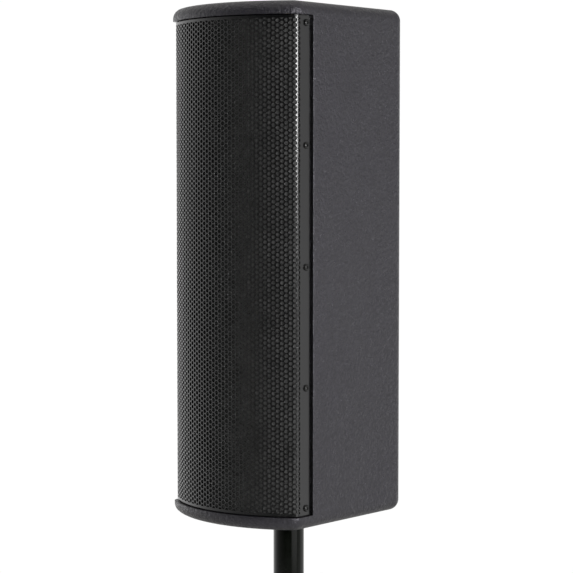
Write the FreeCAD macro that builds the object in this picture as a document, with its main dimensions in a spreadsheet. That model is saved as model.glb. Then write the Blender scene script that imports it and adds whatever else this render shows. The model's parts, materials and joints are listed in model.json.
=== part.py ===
"""Column PA loudspeaker on a telescopic distance pole.

Frame: +Z up along the pole's axis, the grille faces -Y, and +X is on the right of someone who
looks at the grille. The origin is the centre of the pole foot's seat, where its threaded stud
enters a bass cabinet or a floor plate. Millimetres.
"""
import FreeCAD, Part
import math
import os
import Sketcher

os.makedirs("parts", exist_ok=True)
doc = FreeCAD.newDocument("column_loudspeaker")
exported = []

# ---------------------------------------------------------------- driving dimensions
DIMENSIONS = {
    # cabinet
    "cabinet_width": 186.0,
    "cabinet_height": 570.0,
    "board": 15.0,
    "rear_reach": 94.5,          # pole axis to the back of the cabinet
    "bend_reach": 90.5,          # pole axis forward to the grille's bends
    "baffle_reach": 83.0,        # pole axis forward to the baffle's front face
    "edge_round": 12.5,          # roundover of the top and bottom edges
    "corner_round": 14.5,        # upright corners
    "cap_lip": 3.7,              # top and bottom boards stand this far in front of the grille
    "brace": 12.0,
    "brace_offset": 73.5,        # brace centre above and below the cabinet's middle
    # grille
    "grille_radius": 145.0,
    "grille_half_width": 89.5,
    "grille_steel": 1.2,
    "grille_bend": 3.0,
    "grille_gap": 1.0,
    "flange_depth": 21.0,
    "shadow_gap": 1.7,
    "foam_thick": 5.0,
    "foam_half_width": 86.0,
    "screw_setback": 14.3,
    "screw_pitch": 130.7,
    "pilot_radius": 1.5,
    "tongue_gap": 6.5,           # grille bend to the side board's front tongue
    "side_edge_round": 1.2,      # front outer edge of the side boards
    # woofers
    "woofer_offset": 155.0,      # woofer centres above and below the cabinet's middle
    "woofer_radius": 73.0,
    "woofer_cutout": 63.0,
    "woofer_bolt_radius": 69.0,
    "rim_thick": 3.5,
    "ledge_thick": 2.0,          # where the surround is glued, inside the rim
    "ledge_radius": 65.5,
    "basket_steel": 2.0,
    "basket_waist": 59.0,
    "waist_reach": 68.0,
    "motor_reach": 47.0,         # pole axis forward to the basket's back
    "top_plate_radius": 40.0,
    "top_plate_thick": 4.0,
    "magnet_radius": 44.0,
    "magnet_thick": 12.0,
    "magnet_bore": 21.0,
    "yoke_thick": 5.0,
    "centre_pole_radius": 12.6,
    "coil_radius": 13.9,
    "coil_wall": 0.9,
    "coil_front_reach": 63.0,
    "coil_back_reach": 41.0,
    "magnet_gap_radius": 14.4,
    "roll_outer": 60.5,
    "roll_inner": 50.5,
    "rubber": 0.7,
    "cone_radius": 50.6,
    "cone_neck": 14.0,
    "cone_neck_reach": 62.4,
    "paper": 0.6,
    "dust_cap_radius": 16.6,
    "dust_cap_dome": 22.8,
    "spider_reach": 53.0,
    "spider_inner": 14.2,
    "spider_outer": 43.4,
    "spider_wave": 0.8,
    "spider_cloth": 0.6,
    "bolt_hole": 1.9,
    # horn and compression driver
    "horn_width": 150.0,
    "horn_height": 128.0,
    "horn_mouth_width": 126.0,
    "horn_mouth_height": 104.0,
    "horn_throat": 12.7,
    "horn_wall": 2.5,
    "horn_flange": 4.0,
    "horn_bolt_inset": 5.5,
    "throat_reach": 32.0,        # pole axis forward to the horn's throat
    "compression_radius": 38.0,
    "throat_plate_thick": 6.0,
    "compression_magnet_thick": 16.0,
    "compression_bore": 22.0,
    "diaphragm_radius": 21.8,
    "diaphragm_foil": 0.6,
    "cover_wall": 3.0,
    "cover_depth": 16.0,
    # crossover and wadding
    "crossover_half_width": 48.0,
    "crossover_half_height": 38.0,
    "crossover_laminate": 1.6,
    "crossover_standoff": 9.0,
    "wadding_thick": 12.0,
    # rear connector plate
    "plate_width": 110.0,
    "plate_height": 84.0,
    "plate_steel": 2.0,
    "plate_level": 140.0,        # plate centre above the cabinet's underside
    "connector_spread": 24.0,
    "plate_bolt_inset": 5.0,
    "connector_bore": 11.2,
    "connector_barrel": 12.3,
    "connector_core": 5.5,
    "connector_flange": 1.8,
    "connector_depth": 26.0,
    "connector_half_width": 13.0,
    "connector_half_height": 15.5,
    # pole
    "pole_reach": 660.0,         # pole seat to the cabinet's underside
    "pole_radius": 17.5,
    "pole_wall": 2.0,
    "outer_tube_radius": 20.0,
    "outer_tube_top": 545.0,
    "running_gap": 0.1,
    "socket_depth": 100.0,
    "socket_wall": 2.4,
    "socket_flange_radius": 45.0,
    "socket_bolt_radius": 35.0,
    "socket_flange_thick": 3.0,
    "foot_radius": 26.0,
    "foot_height": 14.0,
    "foot_plug": 30.0,           # length of the foot inside the lower tube
    "upper_tube_low": 64.0,
    "tube_plug": 20.0,
    "collar_radius": 26.0,
    "collar_bore": 18.8,
    "collar_overlap": 30.0,      # length of the collar on the lower tube
    "collar_height": 30.0,       # length of the collar above the lower tube
    "clamp_level": 560.0,
    "boss_radius": 11.0,
    "clamp_screw_radius": 4.0,
    "clamp_screw_tip": 17.9,
    "knob_radius": 20.0,
    "knob_front": 42.0,
    "knob_thick": 18.0,
    "lobe_radius": 5.5,
    "stud_radius": 10.0,
    "stud_length": 28.0,
    "thread_depth": 1.0,
}
sizes = doc.addObject("Spreadsheet::Sheet", "Sizes")
for row, (alias, number) in enumerate(DIMENSIONS.items(), start=1):
    sizes.set(f"A{row}", alias)
    sizes.set(f"B{row}", str(number))
    sizes.setAlias(f"B{row}", alias)
doc.recompute()


def dim(alias):
    """Expression for one cell of the sheet."""
    return f"Sizes.{alias}"


def value(expression):
    return float(sizes.evalExpression(str(expression)))


# expressions that several pieces share
HALF_WIDTH = "(Sizes.cabinet_width / 2)"
INNER_HALF = "(Sizes.cabinet_width / 2 - Sizes.board)"
INNER_BACK = "(Sizes.rear_reach - Sizes.board)"
BAFFLE_BACK = "(Sizes.board - Sizes.baffle_reach)"
BASE = "Sizes.pole_reach"
MIDDLE = "(Sizes.pole_reach + Sizes.cabinet_height / 2)"
ARC_CENTRE = "(sqrt(Sizes.grille_radius ^ 2 - Sizes.grille_half_width ^ 2) - Sizes.bend_reach)"
CAP_RADIUS = "(Sizes.grille_radius + Sizes.cap_lip)"
FLANGE_END = "(Sizes.flange_depth - Sizes.bend_reach)"
SIDE_FRONT = "(Sizes.flange_depth + Sizes.shadow_gap - Sizes.bend_reach)"
SCREW_LINE = "(Sizes.screw_setback - Sizes.bend_reach)"
PLATE_LEVEL = "(Sizes.pole_reach + Sizes.plate_level)"


def arc_front(radius, half_width):
    """Y of an arc about the grille's centre where it is half_width from the middle."""
    return f"({ARC_CENTRE} - sqrt(({radius}) ^ 2 - ({half_width}) ^ 2))"


# ---------------------------------------------------------------- modelling helpers
def new_body(label):
    body = doc.addObject("PartDesign::Body", label)
    body.Label = label
    return body


def new_sketch(body, plane, offset=None):
    """Sketch on one of the body's origin planes; offset is an expression along its normal."""
    sketch = body.newObject("Sketcher::SketchObject", body.Name + "_sketch")
    support = [item for item in body.Origin.OriginFeatures if item.Role == plane][0]
    sketch.AttachmentSupport = [(support, "")]
    sketch.MapMode = "FlatFace"
    if offset is not None:
        sketch.setExpression("AttachmentOffset.Base.z", str(offset))
    return sketch


def constrain(sketch, kind, items, expression):
    """Dimension bound to the sheet."""
    index = sketch.addConstraint(Sketcher.Constraint(kind, *items, value(expression)))
    sketch.setExpression(f"Constraints[{index}]", str(expression))


def draw_outline(sketch, corners, arcs=None):
    """Closed outline. corners are (x, y) expressions; arcs maps a side to (radius, turn),
    turn +1 when the side runs counter-clockwise about its centre and -1 otherwise."""
    arcs = arcs or {}
    points = [FreeCAD.Vector(value(x), value(y), 0) for x, y in corners]
    count = len(points)
    ends = []
    for side, start in enumerate(points):
        finish = points[(side + 1) % count]
        if side not in arcs:
            line = sketch.addGeometry(Part.LineSegment(start, finish))
            ends.append((line, 1, 2))
            continue
        radius = value(arcs[side][0])
        turn = arcs[side][1]
        chord = finish - start
        reach = math.sqrt(max(radius ** 2 - (chord.Length / 2) ** 2, 0))
        left = FreeCAD.Vector(-chord.y, chord.x, 0).normalize()
        centre = start + chord * 0.5 + left * reach * turn
        first, last = (start, finish) if turn > 0 else (finish, start)
        angle_first = math.atan2(first.y - centre.y, first.x - centre.x)
        angle_last = math.atan2(last.y - centre.y, last.x - centre.x)
        if angle_last < angle_first:
            angle_last += 2 * math.pi
        circle = Part.Circle(centre, FreeCAD.Vector(0, 0, 1), radius)
        arc = sketch.addGeometry(Part.ArcOfCircle(circle, angle_first, angle_last))
        ends.append((arc, 1, 2) if turn > 0 else (arc, 2, 1))
        constrain(sketch, "Radius", (arc,), arcs[side][0])
    for side, (geometry, first, last) in enumerate(ends):
        following = ends[(side + 1) % count]
        joint = Sketcher.Constraint("Coincident", geometry, last, following[0], following[1])
        sketch.addConstraint(joint)
        constrain(sketch, "DistanceX", (-1, 1, geometry, first), corners[side][0])
        constrain(sketch, "DistanceY", (-1, 1, geometry, first), corners[side][1])


def draw_rectangle(sketch, left, bottom, right, top):
    draw_outline(sketch, [(left, bottom), (right, bottom), (right, top), (left, top)])


def draw_centred_rectangle(sketch, level, half_width, half_height):
    """Rectangle about the sketch's upright axis, centred at a level."""
    low = f"({level}) - ({half_height})"
    high = f"({level}) + ({half_height})"
    draw_rectangle(sketch, f"-({half_width})", low, half_width, high)


def draw_circle(sketch, x, y, radius):
    centre = FreeCAD.Vector(value(x), value(y), 0)
    circle = sketch.addGeometry(Part.Circle(centre, FreeCAD.Vector(0, 0, 1), value(radius)))
    constrain(sketch, "DistanceX", (-1, 1, circle, 3), x)
    constrain(sketch, "DistanceY", (-1, 1, circle, 3), y)
    constrain(sketch, "Radius", (circle,), radius)


def pad(body, sketch, length, reverse=False):
    feature = body.newObject("PartDesign::Pad", body.Name + "_pad")
    feature.Profile = sketch
    feature.Reversed = reverse
    feature.setExpression("Length", str(length))
    doc.recompute()
    return feature


def pocket(body, sketch, length=None, reverse=False, both_ways=False):
    """Cut a sketch through everything, or to a depth; checks that it removed something."""
    before = body.Shape.Volume
    feature = body.newObject("PartDesign::Pocket", body.Name + "_pocket")
    feature.Profile = sketch
    feature.Reversed = reverse
    if both_ways:
        feature.SideType = "Symmetric"
    if length is None:
        feature.Type = "ThroughAll"
    else:
        feature.setExpression("Length", str(length))
    doc.recompute()
    if body.Shape.Volume > before - 0.01:
        raise RuntimeError(body.Label + ": a pocket cut nothing")
    return feature


def fillet(body, base, edges, radius):
    feature = body.newObject("PartDesign::Fillet", body.Name + "_fillet")
    feature.Base = (base, edges)
    feature.setExpression("Radius", str(radius))
    doc.recompute()
    return feature


def edges_where(feature, test):
    names = []
    for index, edge in enumerate(feature.Shape.Edges, start=1):
        if test(edge):
            names.append(f"Edge{index}")
    return names


def is_upright(edge):
    return edge.BoundBox.ZLength > 1 and edge.BoundBox.XLength < 0.01 and edge.BoundBox.YLength < 0.01


def reaches(edge, side, expression):
    """Whether an edge's box ends at a place, on the side XMin, XMax, YMin and so on."""
    return abs(getattr(edge.BoundBox, side) - value(expression)) < 0.01


def is_level(edge, height):
    return abs(edge.BoundBox.ZMin - height) < 0.01 and abs(edge.BoundBox.ZMax - height) < 0.01


def bolt_circle(radius):
    """Four places at 45 degrees to the axes, as (across, up) expressions."""
    places = []
    for quarter in range(4):
        angle = math.radians(45 + 90 * quarter)
        places.append((f"({radius} * {math.cos(angle):.6f})", f"({radius} * {math.sin(angle):.6f})"))
    return places


def bolt_corners(half_width, half_height):
    """Four corner places, as (across, up) expressions."""
    places = []
    for across_side in (-1, 1):
        for up_side in (-1, 1):
            places.append((f"({across_side} * ({half_width}))", f"({up_side} * ({half_height}))"))
    return places


def place(item, x="0", y="0", z="0"):
    for axis, expression in (("x", x), ("y", y), ("z", z)):
        if str(expression) != "0":
            item.setExpression(f".Placement.Base.{axis}", str(expression))


def export(item, label=None):
    item.Label = label or item.Label
    exported.append(item)
    return item


def revolved(label, profile, plane="XY_Plane", arcs=None):
    """Solid of revolution about the sketch's vertical axis; profile is (radius, along)."""
    body = new_body(label)
    sketch = new_sketch(body, plane)
    draw_outline(sketch, profile, arcs)
    turned = body.newObject("PartDesign::Revolution", label + "_turned")
    turned.Profile = sketch
    turned.ReferenceAxis = (sketch, ["V_Axis"])
    turned.Angle = 360
    doc.recompute()
    return body


def ring(label, inner, outer, low, high, plane="XZ_Plane"):
    """Plain ring turned about its axis: the Z axis from XZ_Plane, the Y axis from XY_Plane."""
    return revolved(label, [(inner, low), (outer, low), (outer, high), (inner, high)], plane)


AXIS_TURNS = {
    "-Y": FreeCAD.Rotation(FreeCAD.Vector(1, 0, 0), 90),
    "+Y": FreeCAD.Rotation(FreeCAD.Vector(1, 0, 0), -90),
    "+X": FreeCAD.Rotation(FreeCAD.Vector(0, 1, 0), 90),
    "-X": FreeCAD.Rotation(FreeCAD.Vector(0, 1, 0), -90),
    "-Z": FreeCAD.Rotation(FreeCAD.Vector(1, 0, 0), 180),
    "+Z": FreeCAD.Rotation(),
}


# head radius, head height, shank radius, shank length, radius of the hexagon recess
GRILLE_SCREW = (3.8, 2.2, 1.45, 11.0, 1.6)
DRIVER_SCREW = (3.2, 1.8, 1.85, 16.0, 1.4)
BOARD_SCREW = (2.8, 1.6, 1.5, 10.6, 1.2)
CONNECTOR_SCREW = (2.6, 1.2, 1.5, 8.0, 1.1)
PLATE_SCREW = (3.4, 1.8, 1.45, 12.0, 1.5)
SOCKET_SCREW = (4.0, 2.0, 2.0, 16.0, 1.7)


def screw(name, spot, facing, kind):
    """Pan-head screw with a hexagon recess. spot is its seat, facing the way the head points."""
    head_radius, head_height, shank_radius, shank_length, drive = kind
    shank = doc.addObject("Part::Cylinder", name + "_shank")
    shank.Radius = shank_radius
    shank.Height = shank_length
    shank.Placement.Base = FreeCAD.Vector(0, 0, -shank_length)
    head = doc.addObject("Part::Cylinder", name + "_head")
    head.Radius = head_radius
    head.Height = head_height
    joined = doc.addObject("Part::Fuse", name + "_blank")
    joined.Base = head
    joined.Tool = shank
    recess = doc.addObject("Part::Prism", name + "_recess")
    recess.Polygon = 6
    recess.Circumradius = drive
    recess.Height = head_height
    recess.Placement.Base = FreeCAD.Vector(0, 0, head_height * 0.4)
    cut = doc.addObject("Part::Cut", name)
    cut.Base = joined
    cut.Tool = recess
    cut.Placement.Rotation = AXIS_TURNS[facing]
    place(cut, *spot)
    return cut


def screw_set(label, spots, kind):
    """One node that holds a set of identical screws; spots are ((x, y, z), facing)."""
    screws = []
    for number, (spot, facing) in enumerate(spots, start=1):
        screws.append(screw(f"{label}_{number}", spot, facing, kind))
    group = doc.addObject("Part::Compound", label)
    group.Links = screws
    doc.recompute()
    return export(group, label)


# ---------------------------------------------------------------- cabinet boards
SOCKET_BORE = "(Sizes.pole_radius + Sizes.running_gap)"
SOCKET_TUBE = "(Sizes.pole_radius + Sizes.running_gap + Sizes.socket_wall)"
SOCKET_BOLTS = bolt_circle("Sizes.socket_bolt_radius")
REBATE_GAP = 0.3
CLEAR_HOLE = 2.1


def cap_outline(sketch):
    front = arc_front(CAP_RADIUS, HALF_WIDTH)
    rear = dim("rear_reach")
    corners = [
        (f"-{HALF_WIDTH}", front),
        (HALF_WIDTH, front),
        (HALF_WIDTH, rear),
        (f"-{HALF_WIDTH}", rear),
    ]
    draw_outline(sketch, corners, {0: (CAP_RADIUS, 1)})


def make_cap(label, low, round_level):
    """Top or bottom board: curved front, rounded upright corners, rounded outer edge."""
    body = new_body(label)
    sketch = new_sketch(body, "XY_Plane", low)
    cap_outline(sketch)
    board = pad(body, sketch, dim("board"))
    corners = fillet(body, board, edges_where(board, is_upright), dim("corner_round"))
    level = value(round_level)
    rim = edges_where(corners, lambda edge: is_level(edge, level))
    fillet(body, corners, rim, dim("edge_round"))
    return body


ROOF = "(Sizes.pole_reach + Sizes.cabinet_height)"
export(make_cap("top_board", f"{ROOF} - Sizes.board", ROOF))

bottom_board = make_cap("bottom_board", BASE, BASE)
hole = new_sketch(bottom_board, "XY_Plane", BASE)
draw_circle(hole, "0", "0", SOCKET_TUBE)
pocket(bottom_board, hole, reverse=True)
rebate = new_sketch(bottom_board, "XY_Plane", BASE)
draw_circle(rebate, "0", "0", f"Sizes.socket_flange_radius + {REBATE_GAP}")
pocket(bottom_board, rebate, dim("socket_flange_thick"), reverse=True)
bolts = new_sketch(bottom_board, "XY_Plane", BASE)
for across, along in SOCKET_BOLTS:
    draw_circle(bolts, across, along, CLEAR_HOLE)
pocket(bottom_board, bolts, reverse=True)
export(bottom_board)

BOARD_LOW = f"({BASE} + Sizes.board)"
BOARD_HIGH = f"({BASE} + Sizes.cabinet_height - Sizes.board)"
BOARD_HEIGHT = "(Sizes.cabinet_height - 2 * Sizes.board)"
SCREW_LEVELS = [f"({MIDDLE} + {step} * Sizes.screw_pitch)" for step in (-2, -1, 0, 1, 2)]

right_side = new_body("right_side_board")
outline = new_sketch(right_side, "XY_Plane", BOARD_LOW)
rebate_face = "(Sizes.grille_half_width - Sizes.grille_steel)"
front_end = "(Sizes.tongue_gap - Sizes.bend_reach)"
draw_outline(outline, [
    (INNER_HALF, front_end),
    (rebate_face, front_end),
    (rebate_face, SIDE_FRONT),
    (HALF_WIDTH, SIDE_FRONT),
    (HALF_WIDTH, dim("rear_reach")),
    (INNER_HALF, dim("rear_reach")),
])
board = pad(right_side, outline, BOARD_HEIGHT)


def outer_edge_at(feature, line):
    """The board's upright outer edge on one line."""
    found = edges_where(feature, lambda edge: is_upright(edge) and reaches(edge, "XMax", HALF_WIDTH))
    return [name for name in found if reaches(feature.Shape.getElement(name), "YMax", line)]


rounded = fillet(right_side, board, outer_edge_at(board, dim("rear_reach")), dim("corner_round"))
fillet(right_side, rounded, outer_edge_at(rounded, SIDE_FRONT), dim("side_edge_round"))
pilots = new_sketch(right_side, "YZ_Plane")
for level in SCREW_LEVELS:
    draw_circle(pilots, SCREW_LINE, level, dim("pilot_radius"))
pocket(right_side, pilots, reverse=True)
export(right_side)

left_side = doc.addObject("Part::Mirroring", "left_side_board")
left_side.Source = right_side
left_side.Normal = FreeCAD.Vector(1, 0, 0)
doc.recompute()
export(left_side)

baffle = new_body("baffle_board")
outline = new_sketch(baffle, "XZ_Plane", dim("baffle_reach"))
draw_rectangle(outline, f"-{INNER_HALF}", BOARD_LOW, INNER_HALF, BOARD_HIGH)
pad(baffle, outline, dim("board"), reverse=True)
cutouts = new_sketch(baffle, "XZ_Plane", dim("baffle_reach"))
for side in (-1, 1):
    draw_circle(cutouts, "0", f"{MIDDLE} + {side} * Sizes.woofer_offset", dim("woofer_cutout"))
half_wide = "Sizes.horn_mouth_width / 2 + Sizes.horn_wall + 0.7"
half_tall = "Sizes.horn_mouth_height / 2 + Sizes.horn_wall + 0.7"
draw_centred_rectangle(cutouts, MIDDLE, half_wide, half_tall)
pocket(baffle, cutouts)
ONE_WOOFER_BOLTS = bolt_circle("Sizes.woofer_bolt_radius")
WOOFER_BOLTS = []
for side in (-1, 1):
    for across, up in ONE_WOOFER_BOLTS:
        WOOFER_BOLTS.append((across, f"({MIDDLE} + {side} * Sizes.woofer_offset + {up})"))
HORN_CORNERS = bolt_corners(
    "Sizes.horn_width / 2 - Sizes.horn_bolt_inset",
    "Sizes.horn_height / 2 - Sizes.horn_bolt_inset",
)
HORN_BOLTS = [(across, f"({MIDDLE} + {up})") for across, up in HORN_CORNERS]
pilots = new_sketch(baffle, "XZ_Plane", dim("baffle_reach"))
for across, up in WOOFER_BOLTS + HORN_BOLTS:
    draw_circle(pilots, across, up, dim("bolt_hole"))
pocket(baffle, pilots)
export(baffle)

back = new_body("back_board")
outline = new_sketch(back, "XZ_Plane", "-Sizes.rear_reach")
draw_rectangle(outline, f"-{INNER_HALF}", BOARD_LOW, INNER_HALF, BOARD_HIGH)
pad(back, outline, dim("board"))
rebate = new_sketch(back, "XZ_Plane", "-Sizes.rear_reach")
draw_centred_rectangle(rebate, PLATE_LEVEL, "Sizes.plate_width / 2 + 0.4", "Sizes.plate_height / 2 + 0.4")
pocket(back, rebate, dim("plate_steel"), reverse=True)
window = new_sketch(back, "XZ_Plane", "-Sizes.rear_reach")
half_wide = "Sizes.plate_width / 2 - 2 * Sizes.plate_bolt_inset"
half_tall = "Sizes.plate_height / 2 - 2 * Sizes.plate_bolt_inset"
draw_centred_rectangle(window, PLATE_LEVEL, half_wide, half_tall)
pocket(back, window, reverse=True)
PLATE_CORNERS = bolt_corners(
    "Sizes.plate_width / 2 - Sizes.plate_bolt_inset",
    "Sizes.plate_height / 2 - Sizes.plate_bolt_inset",
)
PLATE_BOLTS = [(across, f"({PLATE_LEVEL} + {up})") for across, up in PLATE_CORNERS]
pilots = new_sketch(back, "XZ_Plane", "-Sizes.rear_reach")
for across, up in PLATE_BOLTS:
    draw_circle(pilots, across, up, dim("pilot_radius"))
pocket(back, pilots, reverse=True)
export(back)

BRACE_FRAME = 30
for name, side in (("lower_brace", -1), ("upper_brace", 1)):
    brace = new_body(name)
    low = f"({MIDDLE} + {side} * Sizes.brace_offset - Sizes.brace / 2)"
    outline = new_sketch(brace, "XY_Plane", low)
    draw_rectangle(outline, f"-{INNER_HALF}", BAFFLE_BACK, INNER_HALF, INNER_BACK)
    pad(brace, outline, dim("brace"))
    window = new_sketch(brace, "XY_Plane", low)
    half_window = f"({INNER_HALF} - {BRACE_FRAME})"
    front_edge = f"{BAFFLE_BACK} + {BRACE_FRAME}"
    draw_rectangle(window, f"-{half_window}", front_edge, half_window, f"{INNER_BACK} - {BRACE_FRAME}")
    pocket(brace, window, reverse=True)
    export(brace)

# ---------------------------------------------------------------- grille, foam and screws
grille = new_body("grille")
outline = new_sketch(grille, "XY_Plane", f"{BOARD_LOW} + Sizes.grille_gap")
outer = dim("grille_half_width")
inner = "(Sizes.grille_half_width - Sizes.grille_steel)"
inner_radius = "(Sizes.grille_radius - Sizes.grille_steel)"
inner_front = arc_front(inner_radius, inner)
draw_outline(outline, [
    (f"-{outer}", "-Sizes.bend_reach"),
    (outer, "-Sizes.bend_reach"),
    (outer, FLANGE_END),
    (inner, FLANGE_END),
    (inner, inner_front),
    (f"-{inner}", inner_front),
    (f"-{inner}", FLANGE_END),
    (f"-{outer}", FLANGE_END),
], {0: (dim("grille_radius"), 1), 4: (inner_radius, -1)})
sheet = pad(grille, outline, f"{BOARD_HEIGHT} - 2 * Sizes.grille_gap")
bends = edges_where(sheet, lambda edge: is_upright(edge) and reaches(edge, "YMax", "-Sizes.bend_reach"))
rounded = fillet(grille, sheet, bends, dim("grille_bend"))
bends = edges_where(rounded, lambda edge: is_upright(edge) and reaches(edge, "YMax", inner_front))
fillet(grille, rounded, bends, "Sizes.grille_bend - Sizes.grille_steel")
holes = new_sketch(grille, "YZ_Plane")
for level in SCREW_LEVELS:
    draw_circle(holes, SCREW_LINE, level, CLEAR_HOLE)
pocket(grille, holes, both_ways=True)
export(grille)

FOAM_GAP = 0.3
foam = new_body("grille_foam")
outline = new_sketch(foam, "XY_Plane", f"{BOARD_LOW} + Sizes.grille_gap")
edge = dim("foam_half_width")
foam_front = f"(Sizes.grille_radius - Sizes.grille_steel - {FOAM_GAP})"
foam_back = f"({foam_front} - Sizes.foam_thick)"
draw_outline(outline, [
    (f"-{edge}", arc_front(foam_front, edge)),
    (edge, arc_front(foam_front, edge)),
    (edge, arc_front(foam_back, edge)),
    (f"-{edge}", arc_front(foam_back, edge)),
], {0: (foam_front, 1), 2: (foam_back, -1)})
pad(foam, outline, f"{BOARD_HEIGHT} - 2 * Sizes.grille_gap")
export(foam)

grille_spots = []
for level in SCREW_LEVELS:
    grille_spots.append((("Sizes.grille_half_width", SCREW_LINE, level), "+X"))
    grille_spots.append((("-Sizes.grille_half_width", SCREW_LINE, level), "-X"))
screw_set("grille_screws", grille_spots, GRILLE_SCREW)

# ---------------------------------------------------------------- woofers
RIM_FRONT = "(-Sizes.baffle_reach - Sizes.rim_thick)"
LEDGE = "(-Sizes.baffle_reach - Sizes.ledge_thick)"
BASKET_BACK = "(-Sizes.motor_reach)"
TOP_PLATE_BACK = "(Sizes.top_plate_thick - Sizes.motor_reach)"
MAGNET_BACK = "(Sizes.top_plate_thick + Sizes.magnet_thick - Sizes.motor_reach)"
YOKE_BACK = "(Sizes.top_plate_thick + Sizes.magnet_thick + Sizes.yoke_thick - Sizes.motor_reach)"
BASKET_ARMS = 6
SPIDER_FOLDS = 6


def make_basket(label):
    """Pressed steel frame: rim, ledge for the surround, waist, windows and a flat back."""
    steel = dim("basket_steel")
    basket = revolved(label, [
        (dim("woofer_radius"), RIM_FRONT),
        (dim("woofer_radius"), "-Sizes.baffle_reach"),
        ("Sizes.basket_waist + 3", "-Sizes.baffle_reach"),
        (dim("basket_waist"), "-Sizes.waist_reach"),
        ("Sizes.top_plate_radius + 2", BASKET_BACK),
        ("18", BASKET_BACK),
        ("18", f"{BASKET_BACK} - {steel}"),
        ("Sizes.top_plate_radius + 0.5", f"{BASKET_BACK} - {steel}"),
        (f"Sizes.basket_waist - {steel}", "-Sizes.waist_reach - 0.5"),
        ("Sizes.basket_waist + 0.5", LEDGE),
        (dim("ledge_radius"), LEDGE),
        (dim("ledge_radius"), RIM_FRONT),
    ])
    windows = new_sketch(basket, "XZ_Plane", dim("motor_reach"))
    for arm in range(BASKET_ARMS):
        angle = math.radians(360 / BASKET_ARMS * (arm + 0.5))
        draw_circle(windows, f"51 * {math.cos(angle):.6f}", f"51 * {math.sin(angle):.6f}", "8.5")
    pocket(basket, windows, "24", reverse=True)
    holes = new_sketch(basket, "XZ_Plane", "Sizes.baffle_reach - 1")
    for across, up in ONE_WOOFER_BOLTS:
        draw_circle(holes, across, up, CLEAR_HOLE)
    pocket(basket, holes, "6", reverse=True)
    return basket


def half_roll(label):
    """Rubber surround: a half roll between the cone's edge and the basket's ledge."""
    front = f"({LEDGE} - Sizes.rubber)"
    profile = [
        ("Sizes.ledge_radius - 0.3", LEDGE),
        ("Sizes.ledge_radius - 0.3", front),
        (dim("roll_outer"), front),
        (dim("roll_inner"), front),
        ("Sizes.roll_inner - 2", front),
        ("Sizes.roll_inner - 2", LEDGE),
        ("Sizes.roll_inner + Sizes.rubber", LEDGE),
        ("Sizes.roll_outer - Sizes.rubber", LEDGE),
    ]
    roll = "((Sizes.roll_outer - Sizes.roll_inner) / 2 + 0.02)"
    return revolved(label, profile, arcs={2: (roll, -1), 6: (f"{roll} - Sizes.rubber", 1)})


def spider_disc(label):
    """Centring disc: a ring pressed into shallow folds."""
    front = []
    rear_side = []
    for edge in range(2 * SPIDER_FOLDS + 1):
        share = edge / (2 * SPIDER_FOLDS)
        radius = f"Sizes.spider_inner + {share:.6f} * (Sizes.spider_outer - Sizes.spider_inner)"
        turn = 1 if edge % 2 else -1
        depth = f"{turn} * Sizes.spider_wave - Sizes.spider_reach"
        front.append((radius, f"{depth} - Sizes.spider_cloth / 2"))
        rear_side.append((radius, f"{depth} + Sizes.spider_cloth / 2"))
    return revolved(label, front + rear_side[::-1])


def make_cone(label):
    edge = f"({LEDGE} + Sizes.paper + 0.4)"
    return revolved(label, [
        (dim("cone_radius"), f"{LEDGE} + 0.4"),
        (dim("cone_radius"), edge),
        ("Sizes.cone_radius - 1", f"{edge} + 0.1"),
        (dim("cone_neck"), "1 - Sizes.cone_neck_reach"),
        (dim("cone_neck"), "-Sizes.cone_neck_reach"),
        ("Sizes.cone_radius - 1.4", f"{LEDGE} + 0.4"),
    ])


def make_dust_cap(label):
    rim = dim("dust_cap_radius")
    dome = dim("dust_cap_dome")
    return revolved(label, [
        ("0", "-71.6"),
        (rim, "-64.4"),
        (f"{rim} - 0.5", "-63.8"),
        ("0", "Sizes.paper - 71.6"),
    ], arcs={0: (dome, 1), 2: (f"{dome} - Sizes.paper", -1)})


def make_yoke(label):
    tip = f"({BASKET_BACK} - 0.5)"
    return revolved(label, [
        ("0", YOKE_BACK),
        (dim("top_plate_radius"), YOKE_BACK),
        (dim("top_plate_radius"), MAGNET_BACK),
        (dim("centre_pole_radius"), MAGNET_BACK),
        (dim("centre_pole_radius"), tip),
        ("0", tip),
    ])


def make_woofer(prefix, level):
    coil_inner = "Sizes.coil_radius - Sizes.coil_wall"
    coil_span = ("-Sizes.coil_front_reach", "-Sizes.coil_back_reach")
    plate_sizes = (dim("magnet_gap_radius"), dim("top_plate_radius"), BASKET_BACK, TOP_PLATE_BACK)
    magnet_sizes = (dim("magnet_bore"), dim("magnet_radius"), TOP_PLATE_BACK, MAGNET_BACK)
    pieces = [
        make_basket(prefix + "_woofer_basket"),
        ring(prefix + "_woofer_top_plate", *plate_sizes, "XY_Plane"),
        ring(prefix + "_woofer_magnet", *magnet_sizes, "XY_Plane"),
        make_yoke(prefix + "_woofer_pole_yoke"),
        half_roll(prefix + "_woofer_surround"),
        spider_disc(prefix + "_woofer_spider"),
        make_cone(prefix + "_woofer_cone"),
        make_dust_cap(prefix + "_woofer_dust_cap"),
        ring(prefix + "_woofer_voice_coil", coil_inner, dim("coil_radius"), *coil_span, "XY_Plane"),
    ]
    for piece in pieces:
        place(piece, z=level)
        export(piece)


make_woofer("lower", f"{MIDDLE} - Sizes.woofer_offset")
make_woofer("upper", f"{MIDDLE} + Sizes.woofer_offset")
woofer_spots = [((across, RIM_FRONT, up), "-Y") for across, up in WOOFER_BOLTS]
screw_set("woofer_screws", woofer_spots, DRIVER_SCREW)

# ---------------------------------------------------------------- horn and compression driver
def draw_horn_section(body, level, half_width, half_height):
    section = new_sketch(body, "XZ_Plane", level)
    draw_centred_rectangle(section, "0", half_width, half_height)
    return section


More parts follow.
